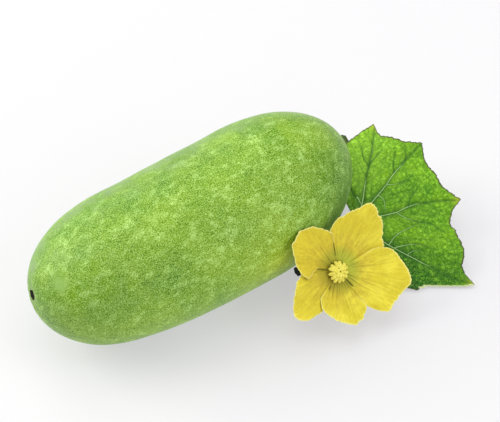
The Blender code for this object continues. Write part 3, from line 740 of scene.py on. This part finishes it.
def build_gourd():
    rings = gourd_rings()
    x = np.repeat(rings, GOURD_SIDES)
    turn = np.tile(turns(GOURD_SIDES), len(rings))
    shape = cap_shape(x)
    lump = sum(high * np.sin(waves * turn + drift * x + phase)
               for waves, drift, phase, high in LUMPS)
    radius = (belly_radius(x) + LUMP_HEIGHT * lump - hollow(x, turn)) * shape
    ring = np.column_stack([np.zeros_like(x), circle(turn, 1)])
    points = axis_points(x) + ring * radius[:, None]
    dents = sum(noise_at(points, scale, seed) * depth for scale, seed, depth in SKIN_DENTS)
    points += ring * (dents * shape**0.5)[:, None]

    blossom = x < BLOSSOM_SHOULDER
    from_scar = points - scar_middle()
    to_scar = np.hypot(from_scar[:, 1], from_scar[:, 2])
    about_scar = np.arctan2(from_scar[:, 2], from_scar[:, 1])
    furrows = 0.5 + 0.5 * np.sin(13 * about_scar + 1.5 * np.sin(3 * about_scar))
    dent = SCAR_DEPTH * bell(to_scar, SCAR_SPREAD)
    dent += FURROW_DEPTH * furrows * bell(to_scar - FURROWS_AT, FURROWS_WIDTH)
    points[:, 0] += np.where(blossom, dent, 0)

    joint, outward = [np.array(part) for part in stalk_joint()]
    ahead = (points - joint) @ outward
    aside = lengths(points - joint - np.outer(ahead, outward))
    near_joint = (aside < 40 * MM) & (x > STEM_SHOULDER) & (ahead > -20 * MM)
    points -= np.outer(np.where(near_joint, DIMPLE_DEPTH * bell(aside, DIMPLE_WIDTH), 0), outward)
    points[:, 2] = np.maximum(points[:, 2], 0)

    values = {tone: np.clip(sum(strength * bell(away_from(points, np.array(at) * MM), reach * MM)
                                for at, reach, strength in patches), 0, 1)
              for tone, patches in PATCHES.items()}
    values["scar"] = np.maximum(np.where(blossom, 0.7 * bell(to_scar, SCAR_RADIUS * 1.5), 0),
                                np.where(near_joint, 0.8 * bell(aside, 9 * MM), 0))
    uneven = 1 + 0.25 * noise_at(points, 160, 21)
    values["spot"] = smooth_step((SPOT_REACH - away_from(points, SMOOTH_SPOT) * uneven) / SPOT_FADE)
    # waxy bloom on the back and the left end, where it also serves as a painted sheen along the rim
    back = smooth_step((ring @ BACK + 0.2 * noise_at(points, 30, 31) - 0.5) / 0.45)
    left = smooth_step((-40 * MM - x) / (70 * MM)) * smooth_step((np.sin(turn) + 0.2) / 0.8)
    values["bloom_and_sheen"] = np.maximum(0.5 * back, 0.1 * left)
    values = {key: np.append(numbers, [numbers[0], 0]) for key, numbers in values.items()}

    tip_dent = SCAR_DEPTH * bell(math.hypot(*SCAR_ASIDE[1:]), SCAR_SPREAD)
    first = axis_points(np.array(BLOSSOM_END)) + [tip_dent, 0, 0]
    points = np.vstack([points, first, axis_points(np.array(STEM_END))])
    faces = closed_faces(len(rings), GOURD_SIDES)
    gourd = mesh_object("gourd_skin_piece", points, faces, skin_look(), values=values)
    keep(gourd, "gourd_skin", "gourd")


def build_scar():
    """The dry end of the blossom: a thin rough disc with radial furrows."""
    sides, rows = 72, 18
    part = (np.repeat(np.arange(rows), sides) + 1) / rows
    turn = np.tile(turns(sides), rows)
    rough = 0.5 + 0.5 * np.sin(9 * turn + 2 * np.sin(2 * turn))
    reach = SCAR_RADIUS * np.sin(np.minimum(part * 1.5, 1) * math.pi / 2)
    reach *= 1 + 0.12 * np.sin(5 * turn + 1) + 0.06 * rough
    bent = 0.67  # past this part the disc turns down into the skin
    height = np.where(part < bent, 1 - 0.5 * rough * np.sin(part * 4.6), 1 - (part - bent) * 7) * MM
    ring = np.column_stack([circle(turn, reach), height])
    points = np.vstack([ring, [0, 0, 0.9 * MM], [0, 0, -1.2 * MM]])
    place = face_frame(SCAR_FACING, Vector((0, 0, 1)), Vector(scar_middle()))
    faces = closed_faces(rows, sides, flip=True)
    keep(mesh_object("blossom_scar", points, faces, scar_look(), place), "gourd_skin")


# Stems

def in_metres(route):
    return [Vector(point) * MM for point in route]


def tube(name, route, radii, sides=40, ridges=5, ridge=0.2, steps=24, hollow=0.0):
    """A closed ridged tube along a smooth curve; hollow dishes its two cut faces."""
    centres = catmull(route, steps)
    count = len(centres)
    radius = np.interp(np.linspace(0, 1, count), np.linspace(0, 1, len(radii)), radii)
    along = unit(np.gradient(centres, axis=0))
    aside = np.array([0.0, 0.0, 1.0])
    turn = turns(sides)
    swell = 1 + ridge * (np.abs(np.cos(turn * ridges / 2)) ** 1.5 - 0.82)
    rings = []
    for centre, way, size in zip(centres, along, radius):
        aside = unit(aside - way * (aside @ way))
        across = np.cross(way, aside)
        rings.append(centre + size * swell[:, None] * (np.outer(np.cos(turn), aside)
                                                      + np.outer(np.sin(turn), across)))
    points = np.vstack([*rings, centres[0] + along[0] * hollow, centres[-1] - along[-1] * hollow])
    return mesh_object(name, points, closed_faces(count, sides))


def round_tube(name, route, radii, sides, steps):
    return tube(name, route, radii, sides, 0, 0.0, steps)


def ball(name, centre, radius, sides=32, rows=20):
    lean = np.repeat(np.linspace(-math.pi / 2, math.pi / 2, rows + 2)[1:-1], sides)
    ring = np.column_stack([circle(np.tile(turns(sides), rows), np.cos(lean)), np.sin(lean)])
    points = np.vstack([ring, [0, 0, -1], [0, 0, 1]]) * radius + np.array(centre)
    return mesh_object(name, points, closed_faces(rows, sides))


def calyx_foot():
    behind = (THROAT_DEPTH + PETAL_THICKNESS + GAP + CALYX_LENGTH) * MM
    return FLOWER_CENTRE - FLOWER_FACING * behind


def stem_routes():
    """The routes of the vine and its stalks, with their radii."""
    joint, outward = stalk_joint()
    fruit_end = [joint - outward * STALK_SUNK, joint + outward * STALK_STRAIGHT]
    under_leaf = LEAF_JOINT - LEAF_UP * 0.6 * MM
    leaf_end = [under_leaf - LEAF_UP * PETIOLE_STRAIGHT, under_leaf]
    under_flower = calyx_foot() + FLOWER_FACING * 0.5 * MM
    flower_end = [under_flower - FLOWER_FACING * PEDICEL_APPROACH + PEDICEL_SWING,
                  under_flower - FLOWER_FACING * PEDICEL_STRAIGHT, under_flower]
    return {
        "vine": (in_metres(VINE_ROUTE), [VINE_RADIUS] * 2),
        "fruit_stalk": (fruit_end + in_metres(FRUIT_STALK_ROUTE), STALK_RADII),
        "petiole": (in_metres(PETIOLE_ROUTE) + leaf_end, PETIOLE_RADII),
        "pedicel": (in_metres(PEDICEL_ROUTE) + flower_end, PEDICEL_RADII),
    }


def build_stems():
    parts = [tube(name, route, radii, hollow=CUT_HOLLOW if name == "vine" else 0.0)
             for name, (route, radii) in stem_routes().items()]
    parts.append(ball("node", Vector(VINE_NODE) * MM, NODE_RADIUS))
    stems = grow_together(join("vine_stem_piece", parts), STEM_VOXEL, 1)
    points = points_of(stems)
    points[:, 2] = np.maximum(points[:, 2], STEM_CLEARANCE)
    move_points(stems, points)
    # the dry cut ends and the last stretch of each stub, painted dark: partly real, partly painted
    # shade
    cut = np.zeros(len(points))
    for end, before, dark in ((0, 1, 1.0), (-1, -2, 0.55)):
        way = unit(np.subtract(VINE_ROUTE[end], VINE_ROUTE[before]))
        from_end = points - np.array(Vector(VINE_ROUTE[end]) * MM)
        past = from_end @ way + CUT_SHADE_LENGTH
        close = lengths(from_end) < 22 * MM
        cut = np.maximum(cut, dark * np.where(close, smooth_step(past / (5 * MM)), 0))
    add_value(stems.data, "cut", cut)
    add_value(stems.data, "ridge", 0.5 + 0.5 * noise_at(points, 420, 5))
    stems.data.materials.append(stem_look())
    keep(stems, "green_stem", "vine_stem")
    keep(build_hairs(stems, np.flatnonzero(cut < 0.1)), "green_stem")


def build_hairs(stems, green):
    """Short bristles that stand out of the green parts of the stems."""
    points, normals = points_of(stems), points_of(stems, "normal")
    hair_points, hair_faces = [], []
    for index in RNG.choice(green, HAIR_COUNT, replace=False):
        root, way = points[index], unit(normals[index] + RNG.normal(0, 0.25, 3))
        tip = root + way * HAIR_LENGTH * RNG.uniform(0.5, 1.0)
        if tip[2] < 0.3 * MM:
            continue
        aside = unit(np.cross(way, [0.3, 0.5, 0.8]))
        across = np.cross(way, aside)
        start = len(hair_points)
        for turn in (0, 2.094, 4.189):
            hair_points.append(root - way * 0.3 * MM
                               + (aside * math.cos(turn) + across * math.sin(turn)) * HAIR_RADIUS)
        hair_points.append(tip)
        hair_faces += [(start, start + 1, start + 3), (start + 1, start + 2, start + 3),
                       (start + 2, start, start + 3), (start + 2, start + 1, start)]
    return mesh_object("stem_hairs", hair_points, hair_faces, hair_look())


# Leaf, in millimetres in its own frame

def leaf_outline():
    """Closely spaced points round the blade's margin, with small irregular teeth."""
    corners = polar(*np.array(MARGIN, float).T)
    at_corner = along_line(corners)
    samples = np.arange(0, at_corner[-1], LEAF_EDGE_STEP)
    samples = np.unique(np.concatenate([samples, at_corner]))
    samples = samples[np.concatenate([[True], np.diff(samples) > 0.35 * LEAF_EDGE_STEP])]
    line = line_at(corners, at_corner, samples)
    reach = lengths(line)
    drift = noise_along(samples, 0.09, 2)
    tooth = (samples / TOOTH_SPACING + 1.1 * drift) % 1.0
    tooth = np.where(tooth < 0.7, tooth / 0.7, (1 - tooth) / 0.3) - 0.5
    from_corner = np.min(np.abs(samples[:, None] - at_corner[None, :]), axis=1)
    calm = smooth_step(from_corner / 1.2) * smooth_step((reach - 25) / 25)
    rough = 0.5 * noise_along(samples, 0.7, 4)
    reach += (TOOTH_HEIGHT * tooth * (0.6 + 0.5 * drift) + rough) * calm
    return np.degrees(np.unwrap(np.arctan2(line[:, 1], line[:, 0]))), reach


def rib_share(degrees):
    """0 on a rib and 1 halfway between two ribs."""
    ribs = np.array(RIB_ANGLES[::-1], float)
    place = np.interp(degrees, ribs, np.arange(len(ribs)))
    inside = (degrees > ribs[0]) & (degrees < ribs[-1])
    return np.where(inside, np.sin(math.pi * (place % 1.0)), 0.0)


def vein_lines():
    """Flat lines of the main veins, their marked branches and the finer ones between."""
    mains, marked = [[catmull([(*polar(a, r), 0) for a, r in vein], steps)[:, :2] for vein in veins]
                     for veins, steps in ((MAIN_VEINS, 10), (BRANCHES, 8))]
    finer = []
    for which, line in enumerate(mains):
        length = lengths(line[-1] - line[0])
        for number in range(9):
            share = 0.2 + 0.085 * number
            at = int(share * (len(line) - 1))
            way = line[min(at + 2, len(line) - 1)] - line[at]
            way /= lengths(way) + 1e-9
            side = 1 if (number + which) % 2 else -1
            reach = length * (0.44 - 0.30 * share) * RNG.uniform(0.85, 1.15)
            finer.append(branch(line[at], way, side, reach, 46 + RNG.uniform(-6, 6)))
    return mains, marked, finer


def branch(at, way, side, reach, angle):
    points = [at]
    steps = 7
    for step in range(steps):
        lean = math.radians(angle * (1 - 0.55 * step / steps)) * side
        turned = np.array([way[0] * math.cos(lean) - way[1] * math.sin(lean),
                           way[0] * math.sin(lean) + way[1] * math.cos(lean)])
        points.append(points[-1] + turned * reach / steps)
    return np.array(points)


def distance_to(points, lines):
    """Each point's distance to the nearest of several polylines, and how far along that is."""
    nearest = np.full(len(points), 1e9)
    share = np.zeros(len(points))
    for line in lines:
        count = len(line) - 1
        for index in range(count):
            start, leg = line[index], line[index + 1] - line[index]
            t = np.clip((points - start) @ leg / (leg @ leg), 0, 1)
            gap = lengths(points - start - t[:, None] * leg)
            closer = gap < nearest
            nearest[closer] = gap[closer]
            share[closer] = (index + t[closer]) / count
    return nearest, share


def cell_net(low, high, size):
    """A function that gives 0 on the border between two cells of an uneven net and 1 inside."""
    count = np.ceil((high - low) / size).astype(int)
    seeds = np.stack(np.meshgrid(*[np.arange(c) for c in count]), -1).reshape(-1, 2) * size + low
    seeds = seeds + RNG.uniform(-0.42, 0.42, seeds.shape) * size
    tree = kdtree.KDTree(len(seeds))
    for index, seed in enumerate(seeds):
        tree.insert((*seed, 0), index)
    tree.balance()

    def inside(points):
        found = np.array([[hit[2] for hit in tree.find_n((*p, 0), 2)] for p in points])
        return smooth_step((found[:, 1] - found[:, 0]) / (0.6 * size))
    return inside


LEAF_CELLS = cell_net(np.array([-85, -110]), np.array([110, 110]), CELL_SIZE)
LEAF_PLACE = face_frame(LEAF_UP, MIDDLE_RIB, LEAF_JOINT)


def blade_height(degrees, reach, full, lines):
    """The blade's middle surface over its plane, with what the veins do to it."""
    mains, marked, finer = lines
    part = reach / full
    flat = polar(degrees, reach)
    flat_points = np.column_stack([flat, np.zeros(len(flat))])
    to_main, along_main = distance_to(flat, mains)
    to_side, to_fine = distance_to(flat, marked)[0], distance_to(flat, finer)[0]
    quilt = PUCKER * rib_share(degrees) * part * (1.3 - part)
    wave = EDGE_WAVE * np.sin(np.radians(degrees * EDGE_WAVES)) * part**4
    height = (quilt + wave) * np.minimum(full / FULL_PUCKER, 1)
    height += noise_at(flat_points, 0.09, 6) * 0.8 * part + noise_at(flat_points, 0.3, 8) * 0.22
    away = smooth_step(to_main / 3.2) * (0.35 + 0.65 * smooth_step(to_side / 2.4))
    away = away * (0.5 + 0.5 * smooth_step(to_fine / 2.0))
    cell = LEAF_CELLS(flat)
    relief = CELL_RELIEF * (cell - 0.5) * away
    for gap, depth, width in zip((to_main, to_side, to_fine), VEIN_DEPTHS, VEIN_WIDTHS):
        relief -= depth * bell(gap, width)
    height += relief * smooth_step((1 - part) * 12)
    world_z = np.column_stack([flat, height]) @ np.array(LEAF_PLACE)[2, :3] + LEAF_JOINT.z / MM
    sunk = GROUND_CLEARANCE + LEAF_MIDDLE_THICKNESS - world_z
    height += np.where(sunk > -2, (sunk + np.sqrt(sunk**2 + 1)) / 2, 0) / LEAF_UP.z
    return height, {"main": to_main, "along": along_main, "side": to_side, "fine": to_fine,
                    "cell": cell * away, "away": away}


def blade_thickness(part):
    grown = smooth_step((1 - part) * 6)
    return LEAF_EDGE_THICKNESS + (LEAF_MIDDLE_THICKNESS - LEAF_EDGE_THICKNESS) * grown


def build_leaf():
    angles, reaches = leaf_outline()
    columns = len(angles)
    rows = np.arange(1, LEAF_ROWS + 1) / LEAF_ROWS
    part = np.tile(rows + 0.11 * np.sin(math.pi * rows), columns)
    degrees, full = np.repeat(angles, LEAF_ROWS), np.repeat(reaches, LEAF_ROWS)
    reach = full * part
    flat = polar(degrees, reach)
    lines = vein_lines()
    height, near = blade_height(degrees, reach, full, lines)
    thick = blade_thickness(part) / 2
    rib = 0.9 * bell(near["main"], 1.1) * (1 - 0.7 * near["along"]) + 0.3 * bell(near["side"], 0.8)
    middle = LEAF_MIDDLE_THICKNESS / 2
    upper = np.vstack([np.column_stack([flat, height + thick]), [0, 0, middle]])
    lower = np.vstack([np.column_stack([flat, height - thick - rib * (1 - part**6)]),
                       [0, 0, -middle - 1]])
    centre = columns * LEAF_ROWS
    top = grid_faces(columns, LEAF_ROWS)[:, ::-1].tolist()
    top += [[centre, (column + 1) * LEAF_ROWS, column * LEAF_ROWS] for column in range(columns - 1)]

    from_edge = full - reach
    from_tip = np.min([away_from(flat, polar(a, r)) for a, r in LEAF_TIPS], axis=0)
    curled = np.repeat((angles < CURLED_EDGE[1]) & (angles > CURLED_EDGE[0]), LEAF_ROWS)
    values = {
        "cell": near["cell"],
        "net": (1 - near["cell"]) * near["away"],
        "side_vein": np.maximum(bell(near["side"], 1.0), 0.6 * bell(near["fine"], 0.9)),
        # painted shade beside the main veins, widest near the joint
        "flank_shade": bell(near["main"], 3.0 - 1.7 * near["along"]) * (1 - 0.25 * near["along"]),
        "low": smooth_step((-18 - degrees) / 45),
        # painted light over the upper part of the blade
        "painted_sunlight": smooth_step((degrees - 35) / 40),
        # painted shade near the joint, beside the gourd
        "base": smooth_step((34 - reach) / 22) * smooth_step((degrees + 75) / 30),
        "tip": bell(from_tip, 6) * 0.75,
        "edge": smooth_step((1.8 - from_edge) / 1.1) * np.where(curled, 0, 0.85),
        "pale_edge": smooth_step((2.6 - from_edge) / 1.2) * np.where(curled, 0.9, 0),
    }
    leaf = sheet("leaf_blade", upper, lower, top, leaf_look(), LEAF_PLACE, values)
    under = np.repeat([0, 0.6], centre + 1)
    under[-1] = 1
    add_value(leaf.data, "underside", under)
    keep(leaf, "leaf_green", "leaf")
    build_veins(lines, angles[::-1], reaches[::-1])


def build_veins(lines, angles, reaches):
    """Thin raised veins on the blade's upper side, pale near the joint."""
    parts = []
    for which, line in enumerate(lines[0] + lines[1]):
        main = which < len(lines[0])
        at = along_line(line)
        line = line_at(line, at, np.linspace(0, at[-1], max(int(at[-1] / 0.7), 8)))
        degrees = np.degrees(np.arctan2(line[:, 1], line[:, 0]))
        reach = lengths(line)
        full = np.interp(degrees, angles, reaches)
        inside = reach < full - 1.5
        degrees, reach, full, line = degrees[inside], reach[inside], full[inside], line[inside]
        height = blade_height(degrees, reach, full, lines)[0]
        radius = VEIN_RADIUS if main else BRANCH_RADIUS
        radius = radius * (1 - 0.72 * np.linspace(0, 1, len(line)))
        centre = np.column_stack([line, height + blade_thickness(reach / full) / 2 - 0.25 * radius])
        pale_to = np.interp(degrees, *PALE_TO) - (0 if main else PALE_FADE)
        pale = smooth_step((pale_to - reach) / PALE_FADE)
        parts.append(vein_tube(centre, radius, pale * (np.abs(degrees) < 75)))
    veins = join("leaf_veins", parts)
    veins.data.materials.append(vein_look())
    veins.data.transform(LEAF_PLACE)
    keep(veins, "leaf_green")


def vein_tube(centre, radius, pale, sides=6):
    along = unit(np.gradient(centre, axis=0))
    across = unit(np.cross([0, 0, 1], along))
    ways = np.stack([across, np.cross(along, across)], 1)
    rings = centre[:, None] + radius[:, None, None] * (circle(turns(sides), 1) @ ways)
    points = np.vstack([rings.reshape(-1, 3), centre[0], centre[-1]]) * MM
    values = {"pale": np.append(np.repeat(pale, sides), [pale[0], pale[-1]])}
    return mesh_object("vein", points, closed_faces(len(centre), sides), values=values)


# Flower, in millimetres in its own frame

def cup_height(radius):
    dish = -THROAT_DEPTH * (1 - smooth_step(radius / THROAT_RADIUS))
    out = np.maximum(radius - THROAT_RADIUS, 0) / (CUP_RADIUS - THROAT_RADIUS)
    return np.where(radius < THROAT_RADIUS, dish, CUP_HEIGHT * out**1.3)


def petal_sheet(number, middle, half_width, step, tuck, reaches):
    """One petal's points and values: column by column from its clockwise edge."""
    across = np.linspace(-1, 1, PETAL_COLUMNS + 1)
    rows = PETAL_ROWS + 1
    shape = catmull([(i, r, 0) for i, r in enumerate(reaches)], 12)
    reach_at = np.interp((across + 1) / 2 * (len(reaches) - 1), shape[:, 0], shape[:, 1])
    for waves, seed, high in EDGE_FRILLS:
        reach_at = reach_at + high * noise_along(across * waves + number * 20, 1.0, seed)
    side = np.repeat(across, rows)
    part = np.tile(np.linspace(0, 1, rows), len(across))
    full = np.repeat(reach_at, rows)
    tucked = np.where(side > 0, tuck * (1 - smooth_step((part - TUCK_FROM) / TUCK_OVER)), 0)
    edge_wobble = 0.012 * noise_at(np.column_stack([side * 3 + number, part * 6, part * 0]), 1.0, 7)
    spread = side * half_width * (1 - tucked) * (1 + edge_wobble * np.abs(side))
    turn = np.radians(middle + spread)
    radius = PETAL_ROOT + (full - PETAL_ROOT) * part
    flat = circle(turn, radius)

    wave = PETAL_WAVE * np.sin(turn * PETAL_WAVES + middle) * part**3
    height = cup_height(radius) + wave + step * smooth_step(part * 2)
    folds = np.sin(side * 7.5 + number * 1.3 + 0.8 * np.sin(part * 4)) * FOLD_HEIGHT * part**1.5
    ruffle = np.repeat(noise_along(across * 7 + number * 9, 1.0, 11, 3), rows)
    height += folds + RUFFLE_HEIGHT * ruffle * smooth_step((part - 0.76) / 0.24)
    uneven = np.column_stack([turn * 12, radius * 0.10, np.zeros(len(turn))])
    height += 0.3 * noise_at(uneven, 1.0, 13) * part
    veins = radial_veins(side, part, number)
    height -= 0.22 * veins * smooth_step((1 - part) * 3)
    # a groove along each slit, painted dark as painted shade of the gap behind
    slit_shade = np.zeros(len(side))
    for degrees, start, end, strength in SLIT_SHADES:
        away, along = distance_to(flat, [polar(np.array([degrees] * 2), np.array([start, end]))])
        slit_shade = np.maximum(slit_shade, strength * bell(away, 0.45 + 0.25 * np.sin(math.pi * along)))
    height -= SLIT_DEPTH * slit_shade

    side_gap = (1 - np.abs(side)) * np.radians(half_width) * radius
    side_rim = 0.4 * smooth_step((1.7 - side_gap) / 1.7) * smooth_step((part - 0.5) / 0.3)
    values = {
        "out": radius / OUT_AT,
        "side": side + 3.0 * number,
        "vein": veins * (0.75 - 0.5 * part) * smooth_step((1 - part) * 4),
        "shade": np.full(len(side), PETAL_SHADES[number]),
        "rim": np.maximum(smooth_step((1.8 - (1 - part) * full) / 1.5), side_rim),
        "lean": 0.5 + 0.5 * np.cos(turn - math.radians(40)),
        "slit_shade": slit_shade,
    }
    thick = PETAL_END_THICKNESS
    thick = thick + (PETAL_THICKNESS - thick) * smooth_step((1 - part) * 3)
    thick = thick * (0.45 + 0.55 * smooth_step((1 - np.abs(side)) * 6)) / 2
    upper, lower = [np.column_stack([flat, height + way * thick]) for way in (1, -1)]
    return upper, lower, values


def radial_veins(side, part, number):
    """Long veins that fan out from the petal's root and fork once."""
    found = np.zeros(len(side))
    for index in range(6):
        start = -0.8 + 0.32 * index + 0.05 * math.sin(7 * index + 3 * number)
        wander = 0.03 * np.sin(part * 5 + index * 2 + number)
        for fork in (-1, 1):
            line = start + wander + fork * 0.06 * smooth_step((part - 0.35) / 0.6)
            found = np.maximum(found, bell(side - line, 0.013 + 0.012 * (1 - part)))
    return found


def build_petals(place):
    look = petal_look()
    top = grid_faces(PETAL_COLUMNS + 1, PETAL_ROWS + 1).tolist()
    for number, petal in enumerate(PETALS):
        upper, lower, values = petal_sheet(number, *petal)
        thing = sheet(f"petal_{number + 1}", upper, lower, top, look, place, values)
        keep(thing, "petal_yellow", "flower_petals")
    build_throat(look, place)


def build_throat(look, place):
    """The shallow dish that the petals' roots meet in."""
    sides, rows = 120, 24
    radius = np.repeat(np.linspace(0.4, THROAT_RADIUS + 1.5, rows), sides)
    turn = np.tile(turns(sides), rows)
    height = cup_height(radius) - 0.25 - 0.5 * smooth_step((radius - 9) / 4)
    thin = THROAT_THICKNESS - 0.9 * smooth_step((radius - 8) / 5)
    flat = circle(turn, radius)
    middle = height[0]
    upper = np.vstack([np.column_stack([flat, height]), [0, 0, middle]])
    lower = np.vstack([np.column_stack([flat, height - thin]), [0, 0, middle - THROAT_THICKNESS]])
    centre = sides * rows
    top = grid_faces(rows, sides, wrap=True)[:, ::-1].tolist()
    top += [[centre, side, (side + 1) % sides] for side in range(sides)]
    values = {"out": radius / OUT_AT, "side": turn * 1.5, "lean": 0.5 + 0.5 * np.cos(turn - 0.7)}
    keep(sheet("flower_throat", upper, lower, top, look, place, values), "petal_yellow")


def capsule(start, end, radius):
    return [round_tube("knob", [start, (start + end) / 2, end],
                       [radius * 0.86, radius, radius * 0.92], 12, 4),
            ball("knob_tip", end, radius * 0.95, 12, 8),
            ball("knob_root", start, radius * 0.88, 12, 8)]


def build_stamens(place):
    """A round head of folded anthers: fat knobs all round, inner ones, and gaps painted dark as
    shade.
    """
    floor = float(cup_height(np.array(STAMEN_FOOT)) + GAP)
    column = [Vector((0, 0, z)) * MM for z in (floor, 1.5, 3)]
    parts = [ball("core", Vector((0, 0, -1.6)) * MM, 6.6 * MM),
             round_tube("column", column, [STAMEN_FOOT * MM] * 2, 32, 4)]
    for count, start, end, low, high, wide in STAMEN_KNOBS:
        for knob in range(count):
            lean = 2 * math.pi * (knob + RNG.uniform(-0.16, 0.16)) / count
            way = Vector((math.cos(lean), math.sin(lean), 0))
            near = way * (start + RNG.uniform(-0.5, 0.5)) + Vector((0, 0, low))
            far = way * (end + RNG.uniform(-0.4, 0.4))
            far.z = high + RNG.uniform(-0.5, 0.5)
            parts += capsule(near * MM, far * MM, (wide + RNG.uniform(-0.1, 0.1)) * MM)
    stamens = grow_together(join("stamen_head", parts), STAMEN_VOXEL, 1)
    points = points_of(stamens)
    from_axis = lengths(points[:, :2]) / MM
    over_crest = points[:, 2] / MM - np.interp(from_axis, *STAMEN_CREST)
    # how high each point lies over the crest; the material paints what lies deeper darker, as shade
    add_value(stamens.data, "height", np.clip((over_crest + 2.2) / 2.2, 0, 1))
    points[:, 2] += noise_at(points, 900, 3) * 0.08 * MM
    move_points(stamens, points + np.array(STAMEN_ASIDE))
    stamens.data.transform(place)
    stamens.data.materials.append(stamen_look())
    keep(stamens, "stamen_cream", "flower_stamens")


def build_calyx(place):
    """A small ribbed cup with five narrow sepals."""
    top = float(cup_height(np.array(0.0))) - THROAT_THICKNESS / 2 - GAP
    low = (place.inverted() @ calyx_foot()).z / MM
    sides = 60
    profile = catmull([(w * CALYX_RADIUS, low + (top - low) * h, 0) for w, h in CALYX_PROFILE], 8)
    turn = turns(sides)
    swell = 1 + 0.05 * np.cos(turn * 10)
    rings = [np.column_stack([circle(turn, r * swell), np.full(sides, z)])
             for r, z in profile[:, :2]]
    points = np.vstack([*rings, [0, 0, low], [0, 0, top]]) * MM
    parts = [mesh_object("cup", points, closed_faces(len(rings), sides))]
    wide = SEPAL_WIDTH / 2 * MM
    sepal_foot = top - 1
    for index in range(SEPAL_COUNT):
        way = SEPAL_TURN + 2 * math.pi * index / SEPAL_COUNT
        outward = Vector((math.cos(way), math.sin(way), 0))
        route = [outward * (4 + SEPAL_LENGTH * t) + Vector((0, 0, sepal_foot - SEPAL_DROOP * t))
                 for t in (0, 0.35, 0.7, 1.0)]
        sepal = round_tube("sepal", [p * MM for p in route],
                           [wide, wide * 1.1, wide * 0.7, wide * 0.12], 24, 10)
        points = points_of(sepal)
        points[:, 2] = (points[:, 2] - sepal_foot * MM) * SEPAL_FLATNESS + sepal_foot * MM
        move_points(sepal, points)
        parts.append(sepal)
    calyx = grow_together(join("calyx_piece", parts), CALYX_VOXEL, 2)
    calyx.data.transform(place)
    calyx.data.materials.append(calyx_look())
    keep(calyx, "calyx_green", "flower_calyx")


# Stage, lights and camera

def build_stage():
    corners = [(x * FLOOR_HALF, y * FLOOR_HALF, 0) for x, y in ((-1, -1), (1, -1), (1, 1), (-1, 1))]
    floor = mesh_object("studio_floor", corners, [(0, 1, 2, 3)], floor_look())


def aimed(name, data, place, target):
    """A lamp or the camera at its place, turned towards the target."""
    thing = bpy.data.objects.new(name, data)
    thing.location = place
    thing.rotation_euler = (Vector(target) - Vector(place)).to_track_quat("-Z", "Y").to_euler()
    bpy.context.scene.collection.objects.link(thing)
    return thing


def build_lights():
    """Soft lamps round the object, the strongest behind its left end, and hardly any sky."""
    world = bpy.data.worlds.new("studio")
    world.use_nodes = True
    background = world.node_tree.nodes["Background"]
    background.inputs["Color"].default_value = (1, 1, 1, 1)
    background.inputs["Strength"].default_value = SKY
    bpy.context.scene.world = world
    for name, place, size, power in LAMPS:
        data = bpy.data.lights.new(name, "AREA")
        data.shape = "DISK"
        data.size = size
        data.energy = power
        aimed(name, data, place, LAMP_TARGET)


def build_camera():
    data = bpy.data.cameras.new("camera")
    data.lens = LENS
    data.sensor_width = 36
    data.clip_end = 50
    bpy.context.scene.camera = aimed("camera", data, CAMERA_PLACE, CAMERA_TARGET)


def main():
    build_camera()
    build_gourd()
    build_scar()
    build_stems()
    build_leaf()
    flower = face_frame(FLOWER_FACING, FLOWER_RIGHT, FLOWER_CENTRE)
    build_petals(flower)
    build_stamens(flower)
    build_calyx(flower)
    build_stage()
    build_lights()
    bpy.context.scene.view_settings.view_transform = "Standard"
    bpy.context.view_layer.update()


main()
